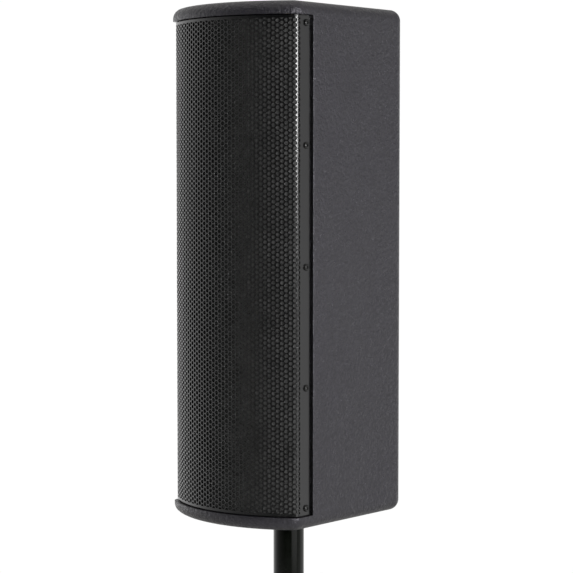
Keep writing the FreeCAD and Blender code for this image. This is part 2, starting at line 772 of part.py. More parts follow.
def loft(body, kind, near, far):
    feature = body.newObject("PartDesign::" + kind, body.Name + "_loft")
    feature.Profile = near
    feature.Sections = [far]
    feature.Ruled = True
    doc.recompute()
    return feature


horn = new_body("horn_flare")
flange = new_sketch(horn, "XZ_Plane", dim("baffle_reach"))
draw_centred_rectangle(flange, "0", "Sizes.horn_width / 2", "Sizes.horn_height / 2")
pad(horn, flange, dim("horn_flange"))
mouth_wide = "Sizes.horn_mouth_width / 2"
mouth_tall = "Sizes.horn_mouth_height / 2"
wall = dim("horn_wall")
throat_outer = f"Sizes.horn_throat + {wall} + 2"
near = draw_horn_section(horn, dim("baffle_reach"), f"{mouth_wide} + {wall}", f"{mouth_tall} + {wall}")
far = draw_horn_section(horn, dim("throat_reach"), throat_outer, throat_outer)
loft(horn, "AdditiveLoft", near, far)
horn_face = "Sizes.baffle_reach + Sizes.horn_flange"
throat_inner = "Sizes.horn_throat - 1"
near = draw_horn_section(horn, horn_face, f"{mouth_wide} + 1", f"{mouth_tall} + 1")
far = draw_horn_section(horn, dim("throat_reach"), throat_inner, throat_inner)
loft(horn, "SubtractiveLoft", near, far)
holes = new_sketch(horn, "XZ_Plane", dim("baffle_reach"))
for across, up in HORN_CORNERS:
    draw_circle(holes, across, up, CLEAR_HOLE)
pocket(horn, holes, "Sizes.horn_flange + 0.5", reverse=True)
place(horn, z=MIDDLE)
export(horn)
horn_spots = [((across, f"-({horn_face})", up), "-Y") for across, up in HORN_BOLTS]
screw_set("horn_screws", horn_spots, DRIVER_SCREW)

THROAT = "(-Sizes.throat_reach)"
THROAT_PLATE_BACK = "(Sizes.throat_plate_thick - Sizes.throat_reach)"
MOTOR_BACK = "(Sizes.throat_plate_thick + Sizes.compression_magnet_thick - Sizes.throat_reach)"


def make_diaphragm(label):
    """Titanium dome with a flat clamping rim."""
    rim_front = f"({MOTOR_BACK} - 2.2)"
    rim_back = f"({rim_front} + Sizes.diaphragm_foil)"
    return revolved(label, [
        ("0", "-19.6"),
        ("19", rim_front),
        (dim("diaphragm_radius"), rim_front),
        (dim("diaphragm_radius"), rim_back),
        ("18.8", rim_back),
        ("0", "Sizes.diaphragm_foil - 19.6"),
    ], arcs={0: ("28.1", 1), 4: ("28.1 - Sizes.diaphragm_foil", -1)})


def make_rear_cover(label):
    """Cup that closes the compression driver's back chamber."""
    radius = dim("compression_radius")
    wall = dim("cover_wall")
    end = f"({MOTOR_BACK} + Sizes.cover_depth)"
    return revolved(label, [
        ("0", end),
        (f"{radius} - 4", end),
        (radius, f"{end} - 4"),
        (radius, MOTOR_BACK),
        (f"{radius} - {wall}", MOTOR_BACK),
        (f"{radius} - {wall}", f"{end} - 5"),
        (f"{radius} - 6", f"{end} - {wall}"),
        ("0", f"{end} - {wall}"),
    ])


plate_sizes = (dim("horn_throat"), dim("compression_radius"), THROAT, THROAT_PLATE_BACK)
magnet_sizes = (dim("compression_bore"), dim("compression_radius"), THROAT_PLATE_BACK, MOTOR_BACK)
compression_parts = [
    ring("compression_throat_plate", *plate_sizes, "XY_Plane"),
    ring("compression_magnet", *magnet_sizes, "XY_Plane"),
    make_diaphragm("compression_diaphragm"),
    make_rear_cover("compression_rear_cover"),
]
for piece in compression_parts:
    place(piece, z=MIDDLE)
    export(piece)

# ---------------------------------------------------------------- crossover and wadding
CROSSOVER_LEVEL = f"({MIDDLE} + Sizes.woofer_offset)"
CROSSOVER_BACK = f"({INNER_BACK} - Sizes.crossover_standoff)"
crossover = new_body("crossover_board")
outline = new_sketch(crossover, "XZ_Plane", f"-{CROSSOVER_BACK}")
draw_centred_rectangle(outline, "0", dim("crossover_half_width"), dim("crossover_half_height"))
pad(crossover, outline, dim("crossover_laminate"))
CROSSOVER_BOLTS = [(across, up) for across in (-43, 43) for up in (-33, 33)]
holes = new_sketch(crossover, "XZ_Plane", f"-{CROSSOVER_BACK}")
for across, up in CROSSOVER_BOLTS:
    draw_circle(holes, str(across), str(up), "1.8")
pocket(crossover, holes, both_ways=True)
place(crossover, z=CROSSOVER_LEVEL)
export(crossover)


def cylinder_group(label, members, level):
    """One node of plain rods along Y: members are (x, z, radius, bore, front, back)."""
    shapes = []
    for number, (x, up, radius, bore, front, back_end) in enumerate(members, start=1):
        rod = doc.addObject("Part::Cylinder", f"{label}_{number}")
        rod.Radius = radius
        rod.Height = back_end - front
        if bore:
            core = doc.addObject("Part::Cylinder", f"{label}_{number}_bore")
            core.Radius = bore
            core.Height = back_end - front
            hollow = doc.addObject("Part::Cut", f"{label}_{number}_ring")
            hollow.Base = rod
            hollow.Tool = core
            rod = hollow
        rod.Placement.Rotation = AXIS_TURNS["+Y"]
        place(rod, x, front, f"{level} + {up}")
        shapes.append(rod)
    group = doc.addObject("Part::Compound", label)
    group.Links = shapes
    doc.recompute()
    return export(group, label)


board_back = value(CROSSOVER_BACK)
board_front = board_back - value("Sizes.crossover_laminate")
inner_back = value(INNER_BACK)
spacers = [(x, z, 3.5, 1.8, board_back, inner_back) for x, z in CROSSOVER_BOLTS]
cylinder_group("crossover_spacers", spacers, CROSSOVER_LEVEL)
coils = [
    (-24, 16, 14, 6, board_front - 14, board_front),
    (22, -16, 14, 6, board_front - 14, board_front),
]
cylinder_group("crossover_coils", coils, CROSSOVER_LEVEL)
capacitors = [
    (8, 18, 6, 0, board_front - 22, board_front),
    (26, 16, 6, 0, board_front - 22, board_front),
    (-14, -20, 7, 0, board_front - 26, board_front),
]
cylinder_group("crossover_capacitors", capacitors, CROSSOVER_LEVEL)
crossover_spots = []
for x, z in CROSSOVER_BOLTS:
    crossover_spots.append(((str(x), str(board_front), f"{CROSSOVER_LEVEL} + {z}"), "-Y"))
screw_set("crossover_screws", crossover_spots, BOARD_SCREW)

pads = []
PAD_GAP = 0.3
near_brace = "(Sizes.brace_offset - Sizes.brace / 2 - 2)"
beyond_brace = "(Sizes.brace_offset + Sizes.brace / 2 + 2)"
chambers = [
    (f"{BOARD_LOW} + 4", f"{MIDDLE} - {beyond_brace}"),
    (f"{MIDDLE} - {near_brace}", f"{MIDDLE} + {near_brace}"),
    (f"{MIDDLE} + {beyond_brace}", f"{BOARD_HIGH} - 4"),
]
for number, (low, high) in enumerate(chambers, start=1):
    for hand, side in (("left", -1), ("right", 1)):
        slab = doc.addObject("Part::Box", f"wadding_{hand}_{number}")
        slab.setExpression("Length", dim("wadding_thick"))
        slab.setExpression("Width", f"{INNER_BACK} - {BAFFLE_BACK} - 8")
        slab.setExpression("Height", f"({high}) - ({low})")
        right_face = f"{INNER_HALF} - {PAD_GAP} - Sizes.wadding_thick"
        left_face = f"{PAD_GAP} - {INNER_HALF}"
        place(slab, right_face if side > 0 else left_face, f"{BAFFLE_BACK} + 4", low)
        pads.append(slab)
wadding = doc.addObject("Part::Compound", "wadding_pads")
wadding.Links = pads
doc.recompute()
export(wadding, "wadding_pads")

# ---------------------------------------------------------------- rear connector plate
REAR = dim("rear_reach")
SMALL_CLEAR_HOLE = 1.6
plate = new_body("connector_plate")
outline = new_sketch(plate, "XZ_Plane", f"-{REAR}")
draw_centred_rectangle(outline, "0", "Sizes.plate_width / 2", "Sizes.plate_height / 2")
steel = pad(plate, outline, dim("plate_steel"))
plate_corners = edges_where(steel, lambda edge: edge.BoundBox.YLength > 1)
fillet(plate, steel, plate_corners, "4")
holes = new_sketch(plate, "XZ_Plane", f"-{REAR}")
FLANGE_BOLTS = [(-9.5, 12), (9.5, -12)]
CONNECTOR_BOLTS = []
for side in (-1, 1):
    draw_circle(holes, f"{side} * Sizes.connector_spread", "0", "Sizes.connector_barrel + 0.1")
    for across, up in FLANGE_BOLTS:
        CONNECTOR_BOLTS.append((f"({side} * Sizes.connector_spread + {across})", str(up)))
for across, up in CONNECTOR_BOLTS:
    draw_circle(holes, across, up, SMALL_CLEAR_HOLE)
for across, up in PLATE_CORNERS:
    draw_circle(holes, across, up, CLEAR_HOLE)
pocket(plate, holes, both_ways=True)
place(plate, z=PLATE_LEVEL)
export(plate)

cores = []


def make_connector(name, side):
    """Panel socket: a flange with a round bore and a blind barrel behind it."""
    bore = dim("connector_bore")
    barrel_radius = dim("connector_barrel")
    face_level = f"-{REAR} - Sizes.connector_flange"
    flange = new_body(name + "_flange")
    outline = new_sketch(flange, "XZ_Plane", face_level)
    draw_centred_rectangle(outline, "0", dim("connector_half_width"), dim("connector_half_height"))
    face = pad(flange, outline, dim("connector_flange"))
    fillet(flange, face, edges_where(face, lambda edge: edge.BoundBox.YLength > 1), "2.5")
    holes = new_sketch(flange, "XZ_Plane", face_level)
    draw_circle(holes, "0", "0", bore)
    for across, up in FLANGE_BOLTS:
        draw_circle(holes, across, up, SMALL_CLEAR_HOLE)
    pocket(flange, holes, both_ways=True)
    barrel = revolved(name + "_barrel", [
        ("0", f"{REAR} - Sizes.connector_depth"),
        (barrel_radius, f"{REAR} - Sizes.connector_depth"),
        (barrel_radius, REAR),
        (bore, REAR),
        (bore, f"{REAR} - Sizes.connector_depth + 4"),
        ("0", f"{REAR} - Sizes.connector_depth + 4"),
    ])
    shell = doc.addObject("Part::Compound", name)
    shell.Links = [flange, barrel]
    place(shell, x=f"{side} * Sizes.connector_spread", z=PLATE_LEVEL)
    doc.recompute()
    return shell


def make_core(label, side):
    """Post in the middle of a connector that carries its contacts."""
    radius = dim("connector_core")
    floor = f"{REAR} - Sizes.connector_depth + 4"
    core = revolved(label, [
        ("0", floor),
        (radius, floor),
        (radius, f"{REAR} - 2"),
        (f"{radius} - 1", f"{REAR} - 1"),
        ("0", f"{REAR} - 1"),
    ])
    place(core, x=f"{side} * Sizes.connector_spread", z=PLATE_LEVEL)
    return core


for name, side in (("input_connector", -1), ("link_connector", 1)):
    export(make_connector(name, side), name)
    cores.append(make_core(name + "_core", side))
core_group = doc.addObject("Part::Compound", "connector_cores")
core_group.Links = cores
doc.recompute()
export(core_group, "connector_cores")

flange_face = f"{REAR} + Sizes.connector_flange"
connector_spots = [((across, flange_face, f"{PLATE_LEVEL} + {up}"), "+Y") for across, up in CONNECTOR_BOLTS]
screw_set("connector_screws", connector_spots, CONNECTOR_SCREW)
plate_spots = [((across, REAR, up), "+Y") for across, up in PLATE_BOLTS]
screw_set("plate_screws", plate_spots, PLATE_SCREW)

# ---------------------------------------------------------------- pole socket
flange_radius = dim("socket_flange_radius")
flange_top = dim("socket_flange_thick")
socket = revolved("pole_socket", [
    (SOCKET_BORE, "0"),
    (flange_radius, "0"),
    (flange_radius, flange_top),
    (SOCKET_TUBE, flange_top),
    (SOCKET_TUBE, "Sizes.socket_depth + 3"),
    ("0", "Sizes.socket_depth + 3"),
    ("0", dim("socket_depth")),
    (SOCKET_BORE, dim("socket_depth")),
], "XZ_Plane")
holes = new_sketch(socket, "XY_Plane")
for across, along in SOCKET_BOLTS:
    draw_circle(holes, across, along, "2.2")
pocket(socket, holes, "4", reverse=True)
place(socket, z=BASE)
export(socket)
socket_spots = [((across, along, BASE), "-Z") for across, along in SOCKET_BOLTS]
screw_set("pole_socket_screws", socket_spots, SOCKET_SCREW)

# ---------------------------------------------------------------- telescopic pole
OUTER_BORE = "(Sizes.outer_tube_radius - Sizes.pole_wall)"
UPPER_BORE = "(Sizes.pole_radius - Sizes.pole_wall)"
TUBE_TOP = dim("outer_tube_top")
FOOT_TOP = "(Sizes.foot_height + Sizes.foot_plug)"
POLE_TOP = "(Sizes.pole_reach + Sizes.socket_depth - 3)"

export(ring("lower_tube", OUTER_BORE, dim("outer_tube_radius"), dim("foot_height"), TUBE_TOP))

# turned foot pressed into the tube, with a relief around the stud at its seat
foot = revolved("pole_foot", [
    ("0", "0"),
    (dim("foot_radius"), "0"),
    (dim("foot_radius"), "8"),
    ("Sizes.foot_radius - 4", dim("foot_height")),
    (OUTER_BORE, dim("foot_height")),
    (OUTER_BORE, FOOT_TOP),
    ("0", FOOT_TOP),
], "XZ_Plane")
foot_bore = new_sketch(foot, "XY_Plane")
draw_circle(foot_bore, "0", "0", "Sizes.stud_radius - Sizes.thread_depth")
pocket(foot, foot_bore, "30", reverse=True)
relief = new_sketch(foot, "XY_Plane")
draw_circle(relief, "0", "0", "Sizes.stud_radius + 0.6")
pocket(foot, relief, "1.5", reverse=True)
export(foot)

STUD_CORE = "(Sizes.stud_radius - Sizes.thread_depth)"
export(revolved("threaded_stud", [
    ("0", "-Sizes.stud_length"),
    ("Sizes.stud_radius - 1.5", "-Sizes.stud_length"),
    (dim("stud_radius"), "1.5 - Sizes.stud_length"),
    (dim("stud_radius"), "0"),
    (STUD_CORE, "0"),
    (STUD_CORE, "30"),
    ("0", "30"),
], "XZ_Plane"))

# ---------------------------------------------------------------- clamp collar
COLLAR_LOW = "(Sizes.outer_tube_top - Sizes.collar_overlap)"
COLLAR_HIGH = "(Sizes.outer_tube_top + Sizes.collar_height)"
CLAMP_LEVEL = dim("clamp_level")
collar = revolved("clamp_collar", [
    (dim("outer_tube_radius"), COLLAR_LOW),
    ("Sizes.collar_radius - 2", COLLAR_LOW),
    (dim("collar_radius"), f"{COLLAR_LOW} + 2"),
    (dim("collar_radius"), f"{COLLAR_HIGH} - 2"),
    ("Sizes.collar_radius - 1.5", COLLAR_HIGH),
    (dim("collar_bore"), COLLAR_HIGH),
    (dim("collar_bore"), TUBE_TOP),
    (dim("outer_tube_radius"), TUBE_TOP),
], "XZ_Plane")
boss = new_sketch(collar, "XZ_Plane", "-22")
draw_circle(boss, "0", CLAMP_LEVEL, dim("boss_radius"))
pad(collar, boss, "18", reverse=True)
thread = new_sketch(collar, "XZ_Plane", "-18")
draw_circle(thread, "0", CLAMP_LEVEL, "Sizes.clamp_screw_radius + 0.06")
pocket(collar, thread, "24")
export(collar)

bush = ring("collar_bush", SOCKET_BORE, dim("collar_bore"), f"{TUBE_TOP} + 1", COLLAR_HIGH)
window = new_sketch(bush, "XZ_Plane", "-15")
draw_circle(window, "0", CLAMP_LEVEL, "Sizes.clamp_screw_radius + 0.6")
pocket(bush, window, "8")
export(bush)

# ---------------------------------------------------------------- upper tube
UPPER_LOW = dim("upper_tube_low")
export(ring("upper_tube", UPPER_BORE, dim("pole_radius"), UPPER_LOW, POLE_TOP))
export(revolved("upper_tube_foot", [
    ("0", f"{UPPER_LOW} - 6"),
    ("17.2", f"{UPPER_LOW} - 6"),
    ("17.92", f"{UPPER_LOW} - 5"),
    ("17.92", UPPER_LOW),
    (UPPER_BORE, UPPER_LOW),
    (UPPER_BORE, f"{UPPER_LOW} + Sizes.tube_plug"),
    ("0", f"{UPPER_LOW} + Sizes.tube_plug"),
], "XZ_Plane"))
export(revolved("upper_tube_cap", [
    ("0", f"{POLE_TOP} - 17"),
    (UPPER_BORE, f"{POLE_TOP} - 17"),
    (UPPER_BORE, POLE_TOP),
    ("Sizes.pole_radius - 0.3", POLE_TOP),
    ("Sizes.pole_radius - 1.3", f"{POLE_TOP} + 2.6"),
    ("0", f"{POLE_TOP} + 2.6"),
], "XZ_Plane"))

# ---------------------------------------------------------------- clamp screw and knob
SCREW_TIP = dim("clamp_screw_tip")
knob_screw = revolved("clamp_screw", [
    ("0", SCREW_TIP),
    ("Sizes.clamp_screw_radius - 0.6", SCREW_TIP),
    (dim("clamp_screw_radius"), f"{SCREW_TIP} + 0.6"),
    (dim("clamp_screw_radius"), "Sizes.knob_front + 10"),
    ("0", "Sizes.knob_front + 10"),
])
place(knob_screw, z=CLAMP_LEVEL)
export(knob_screw)

knob = new_body("clamp_knob")
hub = new_sketch(knob, "XZ_Plane", "-Sizes.knob_front")
draw_circle(hub, "0", "0", "12")
pad(knob, hub, dim("knob_thick"), reverse=True)
lobe = new_sketch(knob, "XZ_Plane", "-Sizes.knob_front - 2")
draw_circle(lobe, "Sizes.knob_radius - Sizes.lobe_radius", "0", dim("lobe_radius"))
petal = pad(knob, lobe, "Sizes.knob_thick - 4", reverse=True)
pattern = knob.newObject("PartDesign::PolarPattern", "clamp_knob_lobes")
pattern.Originals = [petal]
pattern.Axis = ([item for item in knob.Origin.OriginFeatures if item.Role == "Y_Axis"][0], [""])
pattern.Angle = 360
pattern.Occurrences = 5
knob.Tip = pattern
doc.recompute()
seat = new_sketch(knob, "XZ_Plane", "-Sizes.knob_front")
draw_circle(seat, "0", "0", dim("clamp_screw_radius"))
pocket(knob, seat, "10")
place(knob, z=CLAMP_LEVEL)
export(knob)

# ---------------------------------------------------------------- checks and export
doc.recompute()
for item in doc.Objects:
    if "Invalid" in item.State or "Error" in item.State:
        raise RuntimeError(f"{item.Label} did not build: {item.State}")
for item in exported:
    shape = item.Shape
    if shape.isNull() or not shape.isValid() or not shape.Solids:
        raise RuntimeError(f"{item.Label} has no valid solid")
for item in exported:
    item.Shape.exportStep(f"parts/{item.Label}.step")
print(len(exported), "nodes")
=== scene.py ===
"""Looks for the column PA loudspeaker: perforated grille, foam, coatings, screws, threads, studio."""
import bmesh
import bpy
import json
import math
from mathutils import Matrix, Vector, noise
from mathutils.geometry import delaunay_2d_cdt


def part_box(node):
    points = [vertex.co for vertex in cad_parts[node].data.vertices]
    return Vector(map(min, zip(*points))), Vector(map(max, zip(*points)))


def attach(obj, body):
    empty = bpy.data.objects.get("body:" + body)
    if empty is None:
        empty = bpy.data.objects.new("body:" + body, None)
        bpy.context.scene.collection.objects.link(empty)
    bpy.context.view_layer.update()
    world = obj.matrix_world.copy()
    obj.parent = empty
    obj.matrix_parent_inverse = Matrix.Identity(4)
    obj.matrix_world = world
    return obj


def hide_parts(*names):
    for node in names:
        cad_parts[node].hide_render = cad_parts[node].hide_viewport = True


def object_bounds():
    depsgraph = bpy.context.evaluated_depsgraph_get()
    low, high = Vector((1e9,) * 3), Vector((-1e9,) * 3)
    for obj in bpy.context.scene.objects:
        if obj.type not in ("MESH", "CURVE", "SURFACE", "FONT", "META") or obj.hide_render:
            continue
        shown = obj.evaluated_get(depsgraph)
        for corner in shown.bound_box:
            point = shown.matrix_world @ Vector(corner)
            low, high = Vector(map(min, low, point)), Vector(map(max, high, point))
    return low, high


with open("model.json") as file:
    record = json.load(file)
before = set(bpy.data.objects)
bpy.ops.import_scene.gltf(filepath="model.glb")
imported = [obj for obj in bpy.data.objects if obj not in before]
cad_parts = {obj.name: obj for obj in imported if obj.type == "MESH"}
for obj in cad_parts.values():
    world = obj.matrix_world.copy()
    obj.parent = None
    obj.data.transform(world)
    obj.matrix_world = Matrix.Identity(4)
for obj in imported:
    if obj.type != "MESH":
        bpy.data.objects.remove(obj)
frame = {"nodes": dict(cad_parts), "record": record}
CAD_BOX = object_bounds()
MM = 0.001
TO_MM = 1000.0

# ------------------------------------------------------------------ places read from the frame
top_low, top_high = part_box("top_board")
bottom_low, bottom_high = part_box("bottom_board")
grille_low, grille_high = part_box("grille")
foam_low, foam_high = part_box("grille_foam")
CABINET_MIDDLE = (top_high.z + bottom_low.z) / 2


# ------------------------------------------------------------------ small helpers
def node_graph(material):
    tree = material.node_tree
    return tree.nodes, tree.links


def new_material(name):
    material = bpy.data.materials.new(name)
    material.use_nodes = True
    return material


def shader_of(material):
    return material.node_tree.nodes["Principled BSDF"]


def add(nodes, kind, **settings):
    node = nodes.new(kind)
    for key, setting in settings.items():
        setattr(node, key, setting)
    return node


def object_coordinates(nodes):
    return nodes.new("ShaderNodeTexCoord").outputs["Object"]


def noise_texture(nodes, links, scale, detail=3.0, roughness=0.5, stretch=None):
    """Noise in the row's own frame, in features per metre."""
    coordinates = object_coordinates(nodes)
    if stretch is not None:
        mapping = nodes.new("ShaderNodeMapping")
        mapping.inputs["Scale"].default_value = stretch
        links.new(coordinates, mapping.inputs["Vector"])
        coordinates = mapping.outputs["Vector"]
    texture = nodes.new("ShaderNodeTexNoise")
    texture.inputs["Scale"].default_value = scale
    texture.inputs["Detail"].default_value = detail
    texture.inputs["Roughness"].default_value = roughness
    links.new(coordinates, texture.inputs["Vector"])
    return texture.outputs["Fac"]


def ramp(nodes, links, source, stops):
    """Colour ramp over a value; stops are (position, colour)."""
    node = nodes.new("ShaderNodeValToRGB")
    elements = node.color_ramp.elements
    while len(elements) < len(stops):
        elements.new(0.5)
    for element, (position, colour) in zip(elements, stops):
        element.position = position
        element.color = (*colour, 1.0)
    links.new(source, node.inputs["Fac"])
    return node.outputs["Color"]


def grey(level):
    return (level, level, level)


def mix_colour(nodes, links, factor, first, second, blend="MIX"):
    node = add(nodes, "ShaderNodeMix", data_type="RGBA", blend_type=blend)
    sockets = (node.inputs["Factor"], node.inputs[6], node.inputs[7])
    for socket, source in zip(sockets, (factor, first, second)):
        if hasattr(source, "links"):
            links.new(source, socket)
        elif isinstance(source, tuple):
            socket.default_value = (*source, 1.0)
        else:
            socket.default_value = source
    return node.outputs[2]


def add_bump(nodes, links, shader, layers, edge_round=0.0):
    """Stacked bumps over softened edges; layers are (height source, strength, distance in metres)."""
    normal = None
    if edge_round:
        rounding = nodes.new("ShaderNodeBevel")
        rounding.samples = 4
        rounding.inputs["Radius"].default_value = edge_round
        normal = rounding.outputs["Normal"]
    for height, strength, distance in layers:
        bump = nodes.new("ShaderNodeBump")
        bump.inputs["Strength"].default_value = strength
        bump.inputs["Distance"].default_value = distance
        links.new(height, bump.inputs["Height"])
        if normal is not None:
            links.new(normal, bump.inputs["Normal"])
        normal = bump.outputs["Normal"]
    links.new(normal, shader.inputs["Normal"])


# ------------------------------------------------------------------ materials
def coated(name, colour, rough, grain=0.0, grain_scale=900.0, mottle=0.10, coat=0.0, rough_spread=0.08,
           specular=0.5, edge_round=0.0):
    """Sprayed or powder coating: faint cloudy colour, fine grain in the surface, uneven gloss."""
    material = new_material(name)
    nodes, links = node_graph(material)
    shader = shader_of(material)
    cloud = noise_texture(nodes, links, 14.0, 4.0, 0.6)
    low = tuple(channel * (1 - mottle) for channel in colour)
    high = tuple(channel * (1 + mottle) for channel in colour)
    base = ramp(nodes, links, cloud, [(0.3, low), (0.7, high)])
    speck = noise_texture(nodes, links, grain_scale * 0.7, 2.0, 0.6)
    dots = ramp(nodes, links, speck, [(0.42, grey(0.78)), (0.62, grey(1.18))])
    base = mix_colour(nodes, links, 1.0, base, dots, "MULTIPLY")
    links.new(base, shader.inputs["Base Color"])
    gloss = noise_texture(nodes, links, 60.0, 3.0, 0.6)
    smooth, dull = grey(rough - rough_spread), grey(rough + rough_spread)
    uneven = ramp(nodes, links, gloss, [(0.3, smooth), (0.7, dull)])
    links.new(uneven, shader.inputs["Roughness"])
    shader.inputs["Specular IOR Level"].default_value = specular
    if coat:
        shader.inputs["Coat Weight"].default_value = coat
        shader.inputs["Coat Roughness"].default_value = 0.15
    if grain:
        fine = noise_texture(nodes, links, grain_scale, 4.0, 0.65)
        broad = noise_texture(nodes, links, grain_scale * 0.12, 2.0, 0.5)
        add_bump(nodes, links, shader, [(fine, grain, 0.0004), (broad, grain * 0.4, 0.0006)], edge_round)
    return material


GROOVE_INSET = 1.0 * MM  # from the top board's side to the groove's outer limit
GROOVE_REAR = 1.9 * MM  # behind the grille's flange
# Near-black painted shade for the shadowed gap between the grille's flange and the side board
GROOVE_PAINTED_SHADE = (0.004, 0.004, 0.004)


def groove_shade_mask(nodes, links):
    """Mask for painted shade: one inside the narrow groove between the grille's flange and the side board,
    zero elsewhere.
    """
    parts = nodes.new("ShaderNodeSeparateXYZ")
    links.new(object_coordinates(nodes), parts.inputs["Vector"])
    across = add(nodes, "ShaderNodeMath", operation="ABSOLUTE")
    links.new(parts.outputs["X"], across.inputs[0])
    limits = (
        (across.outputs["Value"], "LESS_THAN", top_high.x - GROOVE_INSET),
        (parts.outputs["Y"], "LESS_THAN", grille_high.y + GROOVE_REAR),
        (parts.outputs["Z"], "LESS_THAN", top_low.z),
        (parts.outputs["Z"], "GREATER_THAN", bottom_high.z),
    )
    mask = None
    for source, operation, limit in limits:
        test = add(nodes, "ShaderNodeMath", operation=operation)
        test.inputs[1].default_value = limit
        links.new(source, test.inputs[0])
        if mask is None:
            mask = test.outputs["Value"]
            continue
        both = add(nodes, "ShaderNodeMath", operation="MULTIPLY")
        links.new(mask, both.inputs[0])
        links.new(test.outputs["Value"], both.inputs[1])
        mask = both.outputs["Value"]
    return mask


def cabinet_coating():
    """Textured water-based cabinet paint: fine pebbled grain over plywood, with near-black painted shade in
    the groove by the grille's flange.
    """
    material = new_material("cabinet_coating")
    nodes, links = node_graph(material)
    shader = shader_of(material)
    cloud = noise_texture(nodes, links, 9.0, 4.0, 0.6)
    base = ramp(nodes, links, cloud, [(0.3, (0.0072, 0.0066, 0.0094)), (0.7, (0.0096, 0.0092, 0.0114))])
    pebble = noise_texture(nodes, links, 330.0, 4.0, 0.6)
    dots = ramp(nodes, links, pebble, [(0.38, grey(0.60)), (0.64, grey(1.45))])
    base = mix_colour(nodes, links, 1.0, base, dots, "MULTIPLY")
    brushed = noise_texture(nodes, links, 55.0, 3.0, 0.55, (1.0, 1.0, 0.22))
    streaks = ramp(nodes, links, brushed, [(0.35, grey(0.93)), (0.65, grey(1.07))])
    base = mix_colour(nodes, links, 1.0, base, streaks, "MULTIPLY")
    # Painted shade: the groove between the grille's flange and the side board gets a near-black base colour
    base = mix_colour(nodes, links, groove_shade_mask(nodes, links), base, GROOVE_PAINTED_SHADE)
    links.new(base, shader.inputs["Base Color"])
    rough = ramp(nodes, links, pebble, [(0.35, grey(0.50)), (0.65, grey(0.26))])
    rough = mix_colour(nodes, links, groove_shade_mask(nodes, links), rough, grey(0.08))
    links.new(rough, shader.inputs["Roughness"])
    fine = noise_texture(nodes, links, 900.0, 3.0, 0.6)
    broad = noise_texture(nodes, links, 240.0, 3.0, 0.55)
    add_bump(nodes, links, shader, [(fine, 0.60, 0.0005), (broad, 0.85, 0.0017)])
    shader.inputs["Specular IOR Level"].default_value = 0.56
    shader.inputs["Specular Tint"].default_value = (0.94, 0.915, 1.0, 1.0)
    return material


def open_cell_foam(name, colour, scale):
    """Reticulated foam: dark pores between lighter struts, no gloss."""
    material = new_material(name)
    nodes, links = node_graph(material)
    shader = shader_of(material)
    cells = nodes.new("ShaderNodeTexVoronoi")
    cells.feature = "DISTANCE_TO_EDGE"
    cells.inputs["Scale"].default_value = scale
    links.new(object_coordinates(nodes), cells.inputs["Vector"])
    strut = tuple(channel * 1.45 for channel in colour)
    pore = tuple(channel * 0.35 for channel in colour)
    base = ramp(nodes, links, cells.outputs["Distance"], [(0.0, strut), (0.35, pore)])
    patch = noise_texture(nodes, links, 40.0, 3.0, 0.6)
    tone = ramp(nodes, links, patch, [(0.3, grey(0.8)), (0.7, grey(1.2))])
    base = mix_colour(nodes, links, 1.0, base, tone, "MULTIPLY")
    links.new(base, shader.inputs["Base Color"])
    shader.inputs["Roughness"].default_value = 0.95
    shader.inputs["Specular IOR Level"].default_value = 0.15
    add_bump(nodes, links, shader, [(cells.outputs["Distance"], 0.8, 0.0012)])
    return material


def fibre_fleece(name, colour):
    """Matted fibres: short crossing strands over soft lumps."""
    material = new_material(name)
    nodes, links = node_graph(material)
    shader = shader_of(material)
    first = noise_texture(nodes, links, 420.0, 4.0, 0.7, (1.0, 0.15, 1.0))
    second = noise_texture(nodes, links, 420.0, 4.0, 0.7, (1.0, 1.0, 0.15))
    strands = mix_colour(nodes, links, 0.5, first, second)
    dark = tuple(channel * 0.72 for channel in colour)
    base = ramp(nodes, links, strands, [(0.35, dark), (0.62, colour)])
    links.new(base, shader.inputs["Base Color"])
    shader.inputs["Roughness"].default_value = 1.0
    shader.inputs["Sheen Weight"].default_value = 0.35
    add_bump(nodes, links, shader, [(strands, 0.7, 0.0012)])
    return material


def woven_cloth(name, colour):
    """Open plain weave dipped in resin."""
    material = new_material(name)
    nodes, links = node_graph(material)
    shader = shader_of(material)
    heights = []
    for direction in ("X", "Z"):
        wave = add(nodes, "ShaderNodeTexWave", wave_type="BANDS", bands_direction=direction)
        wave.inputs["Scale"].default_value = 330.0
        wave.inputs["Distortion"].default_value = 0.6
        links.new(object_coordinates(nodes), wave.inputs["Vector"])
        heights.append(wave.outputs["Fac"])
    weave = mix_colour(nodes, links, 0.5, heights[0], heights[1])
    dark = tuple(channel * 0.55 for channel in colour)
    links.new(ramp(nodes, links, weave, [(0.2, dark), (0.8, colour)]), shader.inputs["Base Color"])
    shader.inputs["Roughness"].default_value = 0.7
    add_bump(nodes, links, shader, [(weave, 0.6, 0.0004)])
    return material


def plywood(name):
    """Birch plywood: long upright grain in three tones."""
    material = new_material(name)
    nodes, links = node_graph(material)
    shader = shader_of(material)
    grain = noise_texture(nodes, links, 60.0, 6.0, 0.6, (1.0, 1.0, 0.06))
    tones = [(0.3, (0.40, 0.27, 0.15)), (0.55, (0.60, 0.45, 0.28)), (0.75, (0.68, 0.53, 0.35))]
    base = ramp(nodes, links, grain, tones)
    links.new(base, shader.inputs["Base Color"])
    shader.inputs["Roughness"].default_value = 0.62
    add_bump(nodes, links, shader, [(grain, 0.3, 0.0006)])
    return material


def metal(name, colour, rough, brush=(1.0, 1.0, 1.0), scale=300.0):
    """Bare metal with a fine directional finish and slightly uneven tone."""
    material = new_material(name)
    nodes, links = node_graph(material)
    shader = shader_of(material)
    lines = noise_texture(nodes, links, scale, 4.0, 0.6, brush)
    dark = tuple(channel * 0.82 for channel in colour)
    links.new(ramp(nodes, links, lines, [(0.3, dark), (0.7, colour)]), shader.inputs["Base Color"])
    uneven = ramp(nodes, links, lines, [(0.3, grey(rough + 0.08)), (0.7, grey(rough - 0.05))])
    links.new(uneven, shader.inputs["Roughness"])
    shader.inputs["Metallic"].default_value = 1.0
    add_bump(nodes, links, shader, [(lines, 0.12, 0.0002)])
    return material


